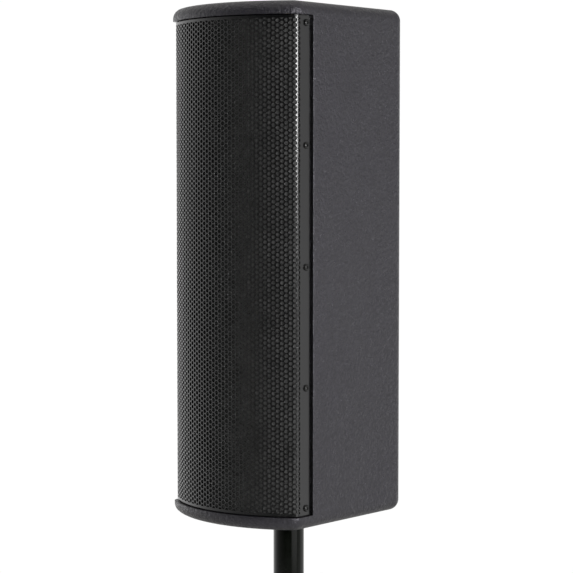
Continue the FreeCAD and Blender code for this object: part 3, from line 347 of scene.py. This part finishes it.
def winding(name, colour):
    """Close turns of lacquered wire."""
    material = new_material(name)
    nodes, links = node_graph(material)
    shader = shader_of(material)
    wave = add(nodes, "ShaderNodeTexWave", wave_type="BANDS", bands_direction="Y")
    wave.inputs["Scale"].default_value = 420.0
    links.new(object_coordinates(nodes), wave.inputs["Vector"])
    dark = tuple(channel * 0.4 for channel in colour)
    turns = ramp(nodes, links, wave.outputs["Fac"], [(0.15, dark), (0.6, colour)])
    links.new(turns, shader.inputs["Base Color"])
    shader.inputs["Metallic"].default_value = 1.0
    shader.inputs["Roughness"].default_value = 0.32
    add_bump(nodes, links, shader, [(wave.outputs["Fac"], 0.8, 0.0004)])
    return material


FINISHES = {
    "cabinet_paint": cabinet_coating(),
    "raw_plywood": plywood("birch_plywood"),
    "grille_steel": coated("grille_powder_coat", (0.003, 0.003, 0.0033), 0.20, grain=0.08, grain_scale=1500.0,
                           mottle=0.06, rough_spread=0.04, specular=0.60, edge_round=0.5 * MM),
    "acoustic_foam": open_cell_foam("grille_foam_cells", (0.060, 0.060, 0.060), 700.0),
    "wadding": fibre_fleece("wadding_fleece", (0.62, 0.62, 0.58)),
    "black_screw": coated("black_zinc", (0.004, 0.004, 0.004), 0.24, grain=0.06, rough_spread=0.04,
                          specular=0.42),
    "basket_paint": coated("satin_black_steel", (0.022, 0.022, 0.023), 0.38, grain=0.10),
    "plated_steel": metal("zinc_plate", (0.62, 0.62, 0.60), 0.28, (1.0, 1.0, 0.1)),
    "ferrite": coated("ground_ferrite", (0.075, 0.075, 0.080), 0.62, grain=0.25, grain_scale=700.0),
    "surround_rubber": coated("surround_rubber", (0.016, 0.016, 0.016), 0.55, grain=0.15, grain_scale=1200.0),
    "spider_cloth": woven_cloth("spider_cloth", (0.60, 0.42, 0.14)),
    "cone_paper": coated("cone_paper", (0.030, 0.029, 0.028), 0.85, grain=0.6, grain_scale=500.0, mottle=0.2),
    "copper": winding("lacquered_copper", (0.72, 0.34, 0.16)),
    "titanium": metal("pressed_titanium", (0.50, 0.50, 0.52), 0.30),
    "horn_plastic": coated("horn_plastic", (0.026, 0.026, 0.026), 0.45, grain=0.18, grain_scale=1100.0),
    "circuit_board": coated("circuit_laminate", (0.03, 0.16, 0.07), 0.35, grain=0.05, coat=0.4),
    "capacitor_sleeve": coated("capacitor_sleeve", (0.04, 0.07, 0.22), 0.28, grain=0.05, coat=0.3),
    "connector_plastic": coated("connector_plastic", (0.024, 0.024, 0.026), 0.42, grain=0.15,
                                grain_scale=1300.0),
    "nylon": coated("black_nylon", (0.028, 0.028, 0.028), 0.5, grain=0.12, grain_scale=1200.0),
    "pole_paint": coated("pole_powder_coat", (0.0020, 0.0026, 0.0017), 0.09, grain=0.08, grain_scale=650.0,
                         mottle=0.08, rough_spread=0.03, specular=0.17),
    "collar_paint": coated("collar_coat", (0.017, 0.017, 0.017), 0.36, grain=0.2, grain_scale=900.0),
    "knob_plastic": coated("knob_plastic", (0.02, 0.02, 0.02), 0.48, grain=0.25, grain_scale=1000.0),
}
NODE_SLOTS = {entry["node"]: entry["material_slot"] for entry in frame["record"]["subparts"]}
NODE_BODY = {
    node: body for body, nodes in frame["record"]["behaviour"]["bodies"].items() for node in nodes
}


def paint_frame():
    """Every CAD node gets its slot's finish."""
    for name, piece in frame["nodes"].items():
        finish = FINISHES[NODE_SLOTS[name]]
        if not piece.material_slots:
            piece.data.materials.append(finish)
        for material_slot in piece.material_slots:
            material_slot.material = finish


# ------------------------------------------------------------------ mesh helpers
def link_mesh(name, mesh):
    piece = bpy.data.objects.new(name, mesh)
    bpy.context.scene.collection.objects.link(piece)
    return piece


def make_piece(name, vertices, faces, node, smooth_angle=35.0):
    """Mesh object that stands for a CAD node and rides with its body."""
    mesh = bpy.data.meshes.new(name)
    mesh.from_pydata(vertices, [], faces)
    mesh.validate()
    piece = link_mesh(name, mesh)
    finish_piece(piece, node, smooth_angle)
    return piece


def finish_piece(piece, node, smooth_angle):
    """Smooth shading, the node's own finish, and a ride on the node's body."""
    mesh = piece.data
    for polygon in mesh.polygons:
        polygon.use_smooth = True
    mesh.set_sharp_from_angle(angle=math.radians(smooth_angle))
    slot_name = NODE_SLOTS[node]
    mesh.materials.clear()
    mesh.materials.append(FINISHES[slot_name])
    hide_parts(node)
    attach(piece, NODE_BODY[node])


def islands(node):
    """Vertices of each separate solid in a CAD node."""
    work = bmesh.new()
    work.from_mesh(frame["nodes"][node].data)
    bmesh.ops.remove_doubles(work, verts=work.verts, dist=1e-6)
    seen = set()
    groups = []
    for start in work.verts:
        if start.index in seen:
            continue
        stack = [start]
        seen.add(start.index)
        members = []
        while stack:
            vertex = stack.pop()
            members.append(vertex.co.copy())
            for edge in vertex.link_edges:
                other = edge.other_vert(vertex)
                if other.index not in seen:
                    seen.add(other.index)
                    stack.append(other)
        groups.append(members)
    work.free()
    return groups


# ------------------------------------------------------------------ perforated grille
HOLE_PITCH = 5.43 * MM
HOLE_RADIUS = 2.2 * MM
SHEET = 1.2 * MM
BEND_RADIUS = 5.0 * MM
COLUMN_STEP = HOLE_PITCH * math.sqrt(3) / 2
COLUMNS = 21
HOLE_SIDES = 12
END_MARGIN = 2.2 * MM  # plain sheet kept free of whole rows, both ends together
SCREW_SETBACK = 14.3 * MM  # from the bend's corner back to the screws' line
half_width = grille_high.x
arc_bulge = grille_low.y


def grille_section():
    """Radius and centre line of the grille's bowed face, from its box and the bend's corner."""
    edge_y = bend_corner_y()
    rise = edge_y - arc_bulge
    radius = (half_width ** 2 + rise ** 2) / (2 * rise)
    return radius, arc_bulge + radius


def bend_corner_y():
    """Where the arc and the side flange would meet without the bend, from the screws' line."""
    low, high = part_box("grille_screws")
    return (low.y + high.y) / 2 - SCREW_SETBACK


ARC_RADIUS, ARC_CENTRE_Y = grille_section()
BEND_ANGLE = math.asin((half_width - BEND_RADIUS) / (ARC_RADIUS - BEND_RADIUS))
BEND_CENTRE_Y = ARC_CENTRE_Y - (ARC_RADIUS - BEND_RADIUS) * math.cos(BEND_ANGLE)
ARC_LENGTH = ARC_RADIUS * BEND_ANGLE
BEND_LENGTH = BEND_RADIUS * (math.pi / 2 - BEND_ANGLE)
FLANGE_LENGTH = grille_high.y - BEND_CENTRE_Y
HALF_SHEET = ARC_LENGTH + BEND_LENGTH + FLANGE_LENGTH


def on_sheet(along, level, depth):
    """Point of the bent sheet: along its developed width, at a height, depth below its face."""
    side = 1.0 if along >= 0 else -1.0
    run = abs(along)
    if run <= ARC_LENGTH:
        angle = run / ARC_RADIUS
        reach = ARC_RADIUS - depth
        x, y = reach * math.sin(angle), ARC_CENTRE_Y - reach * math.cos(angle)
    elif run <= ARC_LENGTH + BEND_LENGTH:
        angle = BEND_ANGLE + (run - ARC_LENGTH) / BEND_RADIUS
        reach = BEND_RADIUS - depth
        x = half_width - BEND_RADIUS + reach * math.sin(angle)
        y = BEND_CENTRE_Y - reach * math.cos(angle)
    else:
        x, y = half_width - depth, BEND_CENTRE_Y + run - ARC_LENGTH - BEND_LENGTH
    return (side * x, y, level)


class FlatPattern:
    """Flat drawing of the sheet: shared points, faces, and the rims that need a wall."""

    def __init__(self):
        self.points = []
        self.lookup = {}
        self.faces = []
        self.rims = []

    def point(self, along, level):
        key = (round(along * 1e7), round(level * 1e7))
        for shift_a in (0, -1, 1):
            for shift_b in (0, -1, 1):
                found = self.lookup.get((key[0] + shift_a, key[1] + shift_b))
                if found is not None:
                    return found
        self.lookup[key] = len(self.points)
        self.points.append((along, level))
        return len(self.points) - 1


def cell_points(pattern, along, level, steps):
    """Points of a hexagonal cell's outline and of its round hole, at the given twelfths of a turn."""
    corner = HOLE_PITCH / math.sqrt(3)
    outline = []
    rim = []
    for step in steps:
        angle = math.pi / 6 * step
        reach = corner if step % 2 == 0 else HOLE_PITCH / 2
        across, up = math.cos(angle), math.sin(angle)
        outline.append(pattern.point(along + reach * across, level + reach * up))
        rim.append(pattern.point(along + HOLE_RADIUS * across, level + HOLE_RADIUS * up))
    return outline, rim


def add_hole_cell(pattern, along, level):
    """One hexagonal cell with a round hole; returns the cell's outline."""
    outline, rim = cell_points(pattern, along, level, range(HOLE_SIDES))
    for step in range(HOLE_SIDES):
        following = (step + 1) % HOLE_SIDES
        pattern.faces.append((outline[step], outline[following], rim[following], rim[step]))
    pattern.rims.append(rim)
    return outline


def add_half_cell(pattern, along, level, upper_half):
    """Half a cell with half a hole, where a staggered column meets the sheet's end."""
    half_turn = HOLE_SIDES // 2
    first_step = 0 if upper_half else half_turn
    outline, rim = cell_points(pattern, along, level, range(first_step, first_step + half_turn + 1))
    for step in range(half_turn):
        pattern.faces.append((outline[step], outline[step + 1], rim[step + 1], rim[step]))
    pattern.rims.append(rim)
    return outline + [rim[-1], rim[0]]


def boundary_loop(faces):
    """Ordered outer boundary of a patch of faces, anticlockwise."""
    edges = {}
    for face in faces:
        for first, second in zip(face, face[1:] + face[:1]):
            if (second, first) in edges:
                del edges[(second, first)]
            else:
                edges[(first, second)] = True
    following = {first: second for first, second in edges}
    start = next(iter(following))
    loop = [start]
    while following[loop[-1]] != start:
        loop.append(following[loop[-1]])
    return loop


def lay_out_holes(pattern, rows, middle):
    """Cells of every column, the staggered ones ending in half holes; returns the cells' outlines."""
    outlines = []
    for column in range(-COLUMNS, COLUMNS + 1):
        along = column * COLUMN_STEP
        odd = column % 2
        count = rows - odd
        for row in range(count):
            level = middle + (row - (count - 1) / 2) * HOLE_PITCH
            outlines.append(tuple(add_hole_cell(pattern, along, level)))
        if odd:
            reach = rows / 2 * HOLE_PITCH
            outlines.append(tuple(add_half_cell(pattern, along, middle - reach, True)))
            outlines.append(tuple(add_half_cell(pattern, along, middle + reach, False)))
    return outlines


def lay_out_border(pattern, height):
    """Points around the sheet's edge, anticlockwise from its lower left corner."""
    step = HOLE_PITCH / 2
    across = int(2 * HALF_SHEET / step)
    upright = int(height / (4 * step))
    border = []
    for index in range(across):
        border.append((-HALF_SHEET + 2 * HALF_SHEET * index / across, grille_low.z))
    for index in range(upright):
        border.append((HALF_SHEET, grille_low.z + height * index / upright))
    for index in range(across):
        border.append((HALF_SHEET - 2 * HALF_SHEET * index / across, grille_high.z))
    for index in range(upright):
        border.append((-HALF_SHEET, grille_high.z - height * index / upright))
    return [pattern.point(*point) for point in border]


def fill_margin(pattern, border, patch, middle):
    """Triangles of plain sheet between the sheet's border and the perforated patch."""
    ids = border + patch
    flat = []
    for index in ids:
        along, level = pattern.points[index]
        flat.append(Vector((along * TO_MM, (level - middle) * TO_MM)))
    count = len(border)
    edges = [(i, (i + 1) % count) for i in range(count)]
    edges += [(count + i, count + (i + 1) % len(patch)) for i in range(len(patch))]
    result = delaunay_2d_cdt(flat, edges, [], 0, 1e-5)
    places, triangles, sources = result[0], result[2], result[3]
    origin = [source[0] if source else None for source in sources]
    on_patch = set(patch)
    for triangle in triangles:
        centre = sum((places[i] for i in triangle), Vector((0, 0))) / 3
        members = [ids[origin[i]] if origin[i] is not None else None for i in triangle]
        if None in members:
            continue
        if all(member in on_patch for member in members) and point_in_loop(centre, flat[count:]):
            continue
        first, second, third = (places[i] for i in triangle)
        if (second - first).cross(third - first) < 0:
            members.reverse()
        pattern.faces.append(tuple(members))
    pattern.rims.append(list(reversed(border)))


def thicken(pattern):
    """Bent sheet from the drawing: both sides, and a wall around every rim."""
    total = len(pattern.points)
    vertices = [on_sheet(along, level, 0.0) for along, level in pattern.points]
    vertices += [on_sheet(along, level, SHEET) for along, level in pattern.points]
    faces = list(pattern.faces)
    faces += [tuple(total + index for index in reversed(face)) for face in pattern.faces]
    for rim in pattern.rims:
        for first, second in zip(rim, rim[1:] + rim[:1]):
            faces.append((first, second, second + total, first + total))
    return vertices, faces


def build_grille():
    """Perforated sheet, drawn flat and then bent and thickened."""
    pattern = FlatPattern()
    height = grille_high.z - grille_low.z
    middle = (grille_high.z + grille_low.z) / 2
    rows = int((height - END_MARGIN) / HOLE_PITCH)
    outlines = lay_out_holes(pattern, rows, middle)
    patch = boundary_loop(outlines)
    border = lay_out_border(pattern, height)
    fill_margin(pattern, border, patch, middle)
    vertices, faces = thicken(pattern)
    return make_piece("perforated_grille", vertices, faces, "grille")


def point_in_loop(point, loop):
    """Whether a point of the plane is inside a closed loop, by counting crossings."""
    inside = False
    previous = loop[-1]
    for current in loop:
        if (current.y > point.y) != (previous.y > point.y):
            offset = (previous.x - current.x) * (point.y - current.y) / (previous.y - current.y)
            crossing = offset + current.x
            if point.x < crossing:
                inside = not inside
        previous = current
    return inside


# ------------------------------------------------------------------ foam and wadding
FOAM_THICK = 4.9 * MM
FOAM_GAP = 0.4 * MM
FOAM_EDGE_THICK = 2.4 * MM
FOAM_TUCK = 2.2 * MM  # how far the foam runs past the bend onto the flange
FOAM_SOFTNESS = 0.22 * MM
FOAM_COLUMNS, FOAM_ROWS = 72, 180
SQUEEZE_FROM, SQUEEZE_TO = 0.80, 0.93  # shares of the half width


def build_foam():
    """Sheet of open-cell foam pressed to the grille's back and squeezed thin into its bends."""
    columns, rows = FOAM_COLUMNS, FOAM_ROWS
    reach = ARC_LENGTH + BEND_LENGTH + FOAM_TUCK
    vertices = []
    for layer in range(2):
        for row in range(rows + 1):
            level = foam_low.z + (foam_high.z - foam_low.z) * row / rows
            for column in range(columns + 1):
                share = column / columns * 2 - 1
                squeezed = (abs(share) - SQUEEZE_FROM) / (SQUEEZE_TO - SQUEEZE_FROM)
                squeezed = min(1.0, max(0.0, squeezed))
                thick = FOAM_THICK + (FOAM_EDGE_THICK - FOAM_THICK) * squeezed
                wave = noise.noise(Vector((share * 110.0, level * 900.0, 3.0 + layer)))
                soft = FOAM_SOFTNESS * (0.6 - wave)
                depth = SHEET + FOAM_GAP + (soft if layer == 0 else thick - soft)
                vertices.append(on_sheet(share * reach, level, depth))
    stride = columns + 1
    sheet_count = stride * (rows + 1)
    faces = []
    for row in range(rows):
        for column in range(columns):
            corner = row * stride + column
            quad = (corner, corner + 1, corner + 1 + stride, corner + stride)
            faces.append(quad)
            faces.append(tuple(index + sheet_count for index in reversed(quad)))
    ring = list(range(columns))
    ring += [row * stride + columns for row in range(rows)]
    ring += [rows * stride + columns - column for column in range(columns)]
    ring += [(rows - row) * stride for row in range(rows)]
    for first, second in zip(ring, ring[1:] + ring[:1]):
        faces.append((second, first, first + sheet_count, second + sheet_count))
    piece = make_piece("foam_liner", vertices, faces, "grille_foam", 60.0)
    return piece


PAD_LUMP = 0.9 * MM
PAD_SINK = 1.0 * MM  # keeps the lumps inside the CAD solid


def build_wadding():
    """Fleece pads: rounded slabs with a lumpy face."""
    work = bmesh.new()
    for members in islands("wadding_pads"):
        low = Vector(min(point[axis] for point in members) for axis in range(3))
        high = Vector(max(point[axis] for point in members) for axis in range(3))
        size = high - low
        slab = bmesh.new()
        bmesh.ops.create_cube(slab, size=1.0)
        bmesh.ops.bevel(slab, geom=slab.edges[:], offset=0.12, segments=1, affect="EDGES", clamp_overlap=True)
        bmesh.ops.subdivide_edges(slab, edges=slab.edges[:], cuts=9, use_grid_fill=True)
        for vertex in slab.verts:
            place = Vector(vertex.co[axis] * size[axis] for axis in range(3)) + (low + high) / 2
            lump = noise.noise(place * 45.0) + 0.5 * noise.noise(place * 130.0)
            swell = PAD_LUMP * lump - PAD_SINK
            away = Vector(vertex.co[axis] * 2 for axis in range(3))
            vertex.co = place + away * swell
        scratch = bpy.data.meshes.new("slab")
        slab.to_mesh(scratch)
        slab.free()
        work.from_mesh(scratch)
        bpy.data.meshes.remove(scratch)
    mesh = bpy.data.meshes.new("wadding_fleece_pads")
    work.to_mesh(mesh)
    work.free()
    piece = link_mesh("wadding_fleece_pads", mesh)
    finish_piece(piece, "wadding_pads", 180.0)
    return piece


# ------------------------------------------------------------------ screws and threads
def screw_mesh(work, seat, outward, head_radius, head_height, shank_radius, shank_length, drive):
    """Button-head screw with a hexagon recess, turned about outward from its seat."""
    segments = 36
    rings = []

    def ring(radius, height, hexagon=0.0):
        members = []
        for step in range(segments):
            angle = 2 * math.pi * step / segments
            reach = radius
            if hexagon:
                sector = (angle + math.pi / 6) % (math.pi / 3) - math.pi / 6
                reach = radius * math.cos(math.pi / 6) / math.cos(sector)
            members.append(work.verts.new((reach * math.cos(angle), reach * math.sin(angle), height)))
        rings.append(members)

    ring(shank_radius * 0.55, -shank_length)
    ring(shank_radius * 0.9, -shank_length * 0.86)
    turns = 7
    for turn in range(turns):
        low = -shank_length * (0.84 - 0.80 * turn / turns)
        step = shank_length * 0.80 / turns
        ring(shank_radius * 0.80, low)
        ring(shank_radius * 1.0, low + step * 0.5)
    ring(shank_radius * 0.9, -0.02 * head_height)
    ring(head_radius * 0.97, 0.0)
    ring(head_radius, head_height * 0.12)
    for part in range(1, 6):
        angle = math.pi / 2 * part / 6
        ring(head_radius * (0.55 + 0.45 * math.cos(angle)), head_height * (0.12 + 0.88 * math.sin(angle)))
    ring(head_radius * 0.58, head_height)
    ring(drive * 1.06, head_height * 0.99, 1.0)
    ring(drive, head_height * 0.93, 1.0)
    ring(drive, head_height * 0.35, 1.0)
    ring(drive * 0.3, head_height * 0.22)
    for lower, upper in zip(rings, rings[1:]):
        for step in range(segments):
            following = (step + 1) % segments
            work.faces.new((lower[step], lower[following], upper[following], upper[step]))
    work.faces.new(list(reversed(rings[0])))
    work.faces.new(rings[-1])
    turn_to = Vector((0, 0, 1)).rotation_difference(outward).to_matrix().to_4x4()
    made = [vertex for members in rings for vertex in members]
    bmesh.ops.transform(work, matrix=Matrix.Translation(seat) @ turn_to, verts=made)


DRIVE_SHARE = 0.42  # hexagon recess as a share of the head's radius


def measure_screw(members):
    """Seat, outward direction and sizes of one CAD screw, from its vertices."""
    low = Vector(min(point[axis] for point in members) for axis in range(3))
    high = Vector(max(point[axis] for point in members) for axis in range(3))
    size = high - low
    middle = (low + high) / 2
    axis = max(range(3), key=lambda index: size[index])
    first, second = (index for index in range(3) if index != axis)

    def off_axis(point):
        return math.hypot(point[first] - middle[first], point[second] - middle[second])

    def spread(level):
        return max(off_axis(point) for point in members if abs(point[axis] - level) < 1e-5)

    at_high, at_low = spread(high[axis]), spread(low[axis])
    sign = 1 if at_high > at_low else -1
    outward = Vector((0, 0, 0))
    outward[axis] = sign
    head_radius, shank_radius = max(at_high, at_low), min(at_high, at_low)
    on_rim = [point for point in members if abs(off_axis(point) - head_radius) < 2e-5]
    levels = sorted({round(point[axis] * sign, 6) for point in on_rim})
    seat = middle.copy()
    seat[axis] = levels[0] * sign
    head_height = levels[-1] - levels[0]
    return seat, outward, head_radius, head_height, shank_radius, size[axis] - head_height


def build_screws(node):
    """Detailed screws in the places and sizes of a CAD group."""
    work = bmesh.new()
    for members in islands(node):
        seat, outward, head_radius, head_height, shank_radius, shank_length = measure_screw(members)
        drive = head_radius * DRIVE_SHARE
        screw_mesh(work, seat, outward, head_radius, head_height, shank_radius, shank_length, drive)
    mesh = bpy.data.meshes.new(node + "_detailed")
    bmesh.ops.recalc_face_normals(work, faces=work.faces[:])
    work.to_mesh(mesh)
    work.free()
    piece = link_mesh(node + "_detailed", mesh)
    finish_piece(piece, node, 40.0)
    return piece


THREAD_PITCH = 2.5 * MM
THREAD_DEPTH = 1.35 * MM
LEAD_IN = 1.5 * MM
LEAD_IN_DEPTH = 1.4 * MM
RUN_OUT = 1.0 * MM
COLLAR_INSET = 1.0 * MM


def build_stud():
    """Stud with a rolled thread of 2.5 mm pitch below the pole's foot."""
    low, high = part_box("threaded_stud")
    radius = high.x
    seat = 0.0  # level of the foot's underside, where the thread ends
    segments = 48
    steps_per_turn = 6
    count = int((seat - low.z) / THREAD_PITCH * steps_per_turn)
    vertices, faces = [], []
    for row in range(count + 1):
        level = low.z + (seat - low.z) * row / count
        entry = (level - low.z) / LEAD_IN
        fade = min(1.0, entry, max(0.0, (-level) / RUN_OUT))
        for step in range(segments):
            turn = step / segments
            phase = ((level - low.z) / THREAD_PITCH - turn) % 1.0
            groove = (0.5 - 0.5 * math.cos(2 * math.pi * phase)) ** 0.7
            reach = radius - THREAD_DEPTH * groove * fade - (1 - min(1.0, entry)) * LEAD_IN_DEPTH
            angle = 2 * math.pi * turn
            vertices.append((reach * math.cos(angle), reach * math.sin(angle), level))
    for row in range(count):
        for step in range(segments):
            following = (step + 1) % segments
            lower, upper = row * segments, (row + 1) * segments
            faces.append((lower + step, lower + following, upper + following, upper + step))
    top_ring = count * segments
    collar = len(vertices)
    inner = radius - COLLAR_INSET
    for level in (seat, high.z):
        for step in range(segments):
            angle = 2 * math.pi * step / segments
            vertices.append((inner * math.cos(angle), inner * math.sin(angle), level))
    for base, upper in ((top_ring, collar), (collar, collar + segments)):
        for step in range(segments):
            following = (step + 1) % segments
            faces.append((base + step, base + following, upper + following, upper + step))
    faces.append(tuple(reversed(range(segments))))
    faces.append(tuple(range(collar + segments, collar + 2 * segments)))
    return make_piece("thread_rolled_stud", vertices, faces, "threaded_stud", 50.0)


# ------------------------------------------------------------------ clamp knob
LOBES = 5
LOBE_DEPTH = 0.26  # share of the radius


def build_knob():
    """Five-lobed hand knob with rounded edges and a dished face."""
    low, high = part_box("clamp_knob")
    screw_low, screw_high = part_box("clamp_screw")
    centre = (screw_low + screw_high) / 2
    segments = 150
    reach = high.x
    length = high.y - low.y
    profile = [  # share of the length, share of the radius, share of the lobes
        (0.0, 0.20, 0.0), (0.0, 0.44, 0.0), (0.02, 0.50, 0.0), (0.10, 0.56, 0.0), (0.14, 0.80, 0.85),
        (0.17, 0.93, 1.0), (0.22, 0.985, 1.0), (0.30, 1.0, 1.0), (0.72, 1.0, 1.0), (0.82, 0.985, 1.0),
        (0.90, 0.93, 1.0), (0.95, 0.84, 0.9), (0.97, 0.70, 0.6), (0.96, 0.5, 0.2), (0.93, 0.3, 0.0),
        (0.92, 0.12, 0.0),
    ]
    vertices, faces = [], []
    for share, wide, lobed in profile:
        for step in range(segments):
            angle = 2 * math.pi * step / segments
            wave = 0.5 + 0.5 * math.cos(LOBES * angle)
            waist = 1 - LOBE_DEPTH * lobed * (1 - wave ** 0.6)
            radius = reach * wide * waist
            vertices.append((centre.x + radius * math.cos(angle), low.y + length * share,
                             centre.z + radius * math.sin(angle)))
    for row in range(len(profile) - 1):
        for step in range(segments):
            following = (step + 1) % segments
            lower, upper = row * segments, (row + 1) * segments
            faces.append((lower + step, upper + step, upper + following, lower + following))
    faces.append(tuple(range(segments)))
    faces.append(tuple(reversed(range((len(profile) - 1) * segments, len(profile) * segments))))
    return make_piece("lobed_knob", vertices, faces, "clamp_knob", 45.0)


# ------------------------------------------------------------------ studio
FLOOR_RADIUS = 2.8
FLOOR_DROP = 0.002
FADE_START = 1.6  # distance from the pole where the floor begins to glow
FADE_GLOW = 0.75


def make_floor():
    """Round pale floor under the stud that melts into the white surround at its rim."""
    mesh = bpy.data.meshes.new("studio_floor")
    level = CAD_BOX[0].z - FLOOR_DROP
    segments = 96
    corners = []
    for step in range(segments):
        angle = 2 * math.pi * step / segments
        corners.append((FLOOR_RADIUS * math.cos(angle), FLOOR_RADIUS * math.sin(angle), level))
    mesh.from_pydata(corners, [], [tuple(range(segments))])
    floor = bpy.data.objects.new("studio_floor", mesh)
    bpy.context.scene.collection.objects.link(floor)
    material = new_material("pale_floor")
    nodes, links = node_graph(material)
    shader = shader_of(material)
    shader.inputs["Base Color"].default_value = (0.60, 0.60, 0.60, 1.0)
    shader.inputs["Roughness"].default_value = 0.9
    shader.inputs["Emission Color"].default_value = (1.0, 1.0, 1.0, 1.0)
    reach = add(nodes, "ShaderNodeVectorMath", operation="LENGTH")
    links.new(object_coordinates(nodes), reach.inputs[0])
    fade = nodes.new("ShaderNodeMapRange")
    fade.interpolation_type = "SMOOTHSTEP"
    fade.inputs["From Min"].default_value = FADE_START
    fade.inputs["From Max"].default_value = FLOOR_RADIUS
    fade.inputs["To Min"].default_value = 0.0
    fade.inputs["To Max"].default_value = FADE_GLOW
    links.new(reach.outputs["Value"], fade.inputs["Value"])
    links.new(fade.outputs["Result"], shader.inputs["Emission Strength"])
    mesh.materials.append(material)


ROOM_LIGHT = [  # azimuth in degrees from the grille's side, positive to its right; radiance there
    (-180, 0.85), (-150, 1.0), (-120, 1.2), (-97, 1.3), (-72, 1.25), (-50, 0.70), (-24, 0.30),
    (8, 0.04), (25, 0.01), (40, 0.02), (70, 0.06), (105, 0.30), (140, 0.93), (180, 0.85),
]
CEILING_LIGHT = (1.0, 0.985, 0.93)
HORIZON_BAND = (-0.2, 0.3)  # heights over which the walls' light falls off
WALL_FALLOFF = [(0.0, 1.12), (0.6, 0.88), (1.0, 0.50)]  # share of the band, level there
CEILING_RISE = (0.42, 0.88)  # heights over which the walls turn into the ceiling
BACKDROP_STRENGTH = 1.02


def make_world():
    """White backdrop for the camera; for the object, a room bright at the left and behind, with a ceiling."""
    world = bpy.data.worlds.new("studio_room")
    bpy.context.scene.world = world
    world.use_nodes = True
    nodes, links = world.node_tree.nodes, world.node_tree.links
    room = nodes["Background"]
    coordinates = nodes.new("ShaderNodeTexCoord")
    parts = nodes.new("ShaderNodeSeparateXYZ")
    links.new(coordinates.outputs["Generated"], parts.inputs["Vector"])
    toward_grille = add(nodes, "ShaderNodeMath", operation="MULTIPLY")
    toward_grille.inputs[1].default_value = -1.0
    links.new(parts.outputs["Y"], toward_grille.inputs[0])
    azimuth = add(nodes, "ShaderNodeMath", operation="ARCTAN2")
    links.new(parts.outputs["X"], azimuth.inputs[0])
    links.new(toward_grille.outputs["Value"], azimuth.inputs[1])
    share = nodes.new("ShaderNodeMapRange")
    share.inputs["From Min"].default_value = -math.pi
    share.inputs["From Max"].default_value = math.pi
    links.new(azimuth.outputs["Value"], share.inputs["Value"])
    stops = [((angle + 180) / 360, grey(level)) for angle, level in ROOM_LIGHT]
    walls = ramp(nodes, links, share.outputs["Result"], stops)
    climb = nodes.new("ShaderNodeMapRange")
    climb.inputs["From Min"].default_value = HORIZON_BAND[0]
    climb.inputs["From Max"].default_value = HORIZON_BAND[1]
    links.new(parts.outputs["Z"], climb.inputs["Value"])
    levels = [(share_up, grey(level)) for share_up, level in WALL_FALLOFF]
    falloff = ramp(nodes, links, climb.outputs["Result"], levels)
    walls = mix_colour(nodes, links, 1.0, walls, falloff, "MULTIPLY")
    height = nodes.new("ShaderNodeMapRange")
    height.interpolation_type = "SMOOTHSTEP"
    height.inputs["From Min"].default_value = CEILING_RISE[0]
    height.inputs["From Max"].default_value = CEILING_RISE[1]
    links.new(parts.outputs["Z"], height.inputs["Value"])
    room_colour = mix_colour(nodes, links, height.outputs["Result"], walls, CEILING_LIGHT)
    links.new(room_colour, room.inputs["Color"])
    backdrop = nodes.new("ShaderNodeBackground")
    backdrop.inputs["Color"].default_value = (1.0, 1.0, 1.0, 1.0)
    backdrop.inputs["Strength"].default_value = BACKDROP_STRENGTH
    path = nodes.new("ShaderNodeLightPath")
    choose = nodes.new("ShaderNodeMixShader")
    links.new(path.outputs["Is Camera Ray"], choose.inputs["Fac"])
    links.new(room.outputs["Background"], choose.inputs[1])
    links.new(backdrop.outputs["Background"], choose.inputs[2])
    links.new(choose.outputs["Shader"], nodes["World Output"].inputs["Surface"])


def add_light(name, location, target, size, power):
    """Rectangular softbox turned to its target; size in metres, power in watts."""
    light = bpy.data.lights.new(name, "AREA")
    light.shape = "RECTANGLE"
    light.size, light.size_y = size
    light.energy = power
    lamp = bpy.data.objects.new(name, light)
    lamp.location = location
    lamp.rotation_euler = (Vector(target) - Vector(location)).to_track_quat("-Z", "Y").to_euler()
    bpy.context.scene.collection.objects.link(lamp)


def make_lights():
    middle = Vector((0, 0, CABINET_MIDDLE))
    add_light("right_softbox", (2.12, -0.58, CABINET_MIDDLE + 0.30), middle, (1.9, 0.30), 56.0)
    add_light("low_softbox", (2.15, -0.20, CABINET_MIDDLE - 0.57), middle, (1.7, 0.45), 4.0)


def make_camera():
    """Long lens, turned to the cabinet's right front corner and slightly from above."""
    azimuth, elevation = math.radians(40.53), math.radians(3.47)
    distance, lens = 2.164, 119.7
    shift_right, shift_up = -0.0025, -0.0277
    forward = Vector((-math.sin(azimuth) * math.cos(elevation), math.cos(azimuth) * math.cos(elevation),
                      -math.sin(elevation)))
    right = Vector((math.cos(azimuth), math.sin(azimuth), 0.0))
    up = right.cross(forward)
    data = bpy.data.cameras.new("camera")
    data.lens = lens
    data.sensor_width = 36.0
    data.clip_start, data.clip_end = 0.05, 200.0
    camera = bpy.data.objects.new("camera", data)
    rotation = Matrix((right, up, -forward)).transposed()
    place = Vector((0, 0, CABINET_MIDDLE)) - forward * distance + right * shift_right + up * shift_up
    camera.matrix_world = Matrix.Translation(place) @ rotation.to_4x4()
    bpy.context.scene.collection.objects.link(camera)
    bpy.context.scene.camera = camera


# ------------------------------------------------------------------ build
make_camera()
make_world()
make_lights()
make_floor()
paint_frame()
build_grille()
build_foam()
build_wadding()
for group in ("grille_screws", "woofer_screws", "horn_screws", "crossover_screws", "connector_screws",
              "plate_screws", "pole_socket_screws"):
    build_screws(group)
build_stud()
build_knob()
bpy.context.scene.view_settings.view_transform = "Standard"
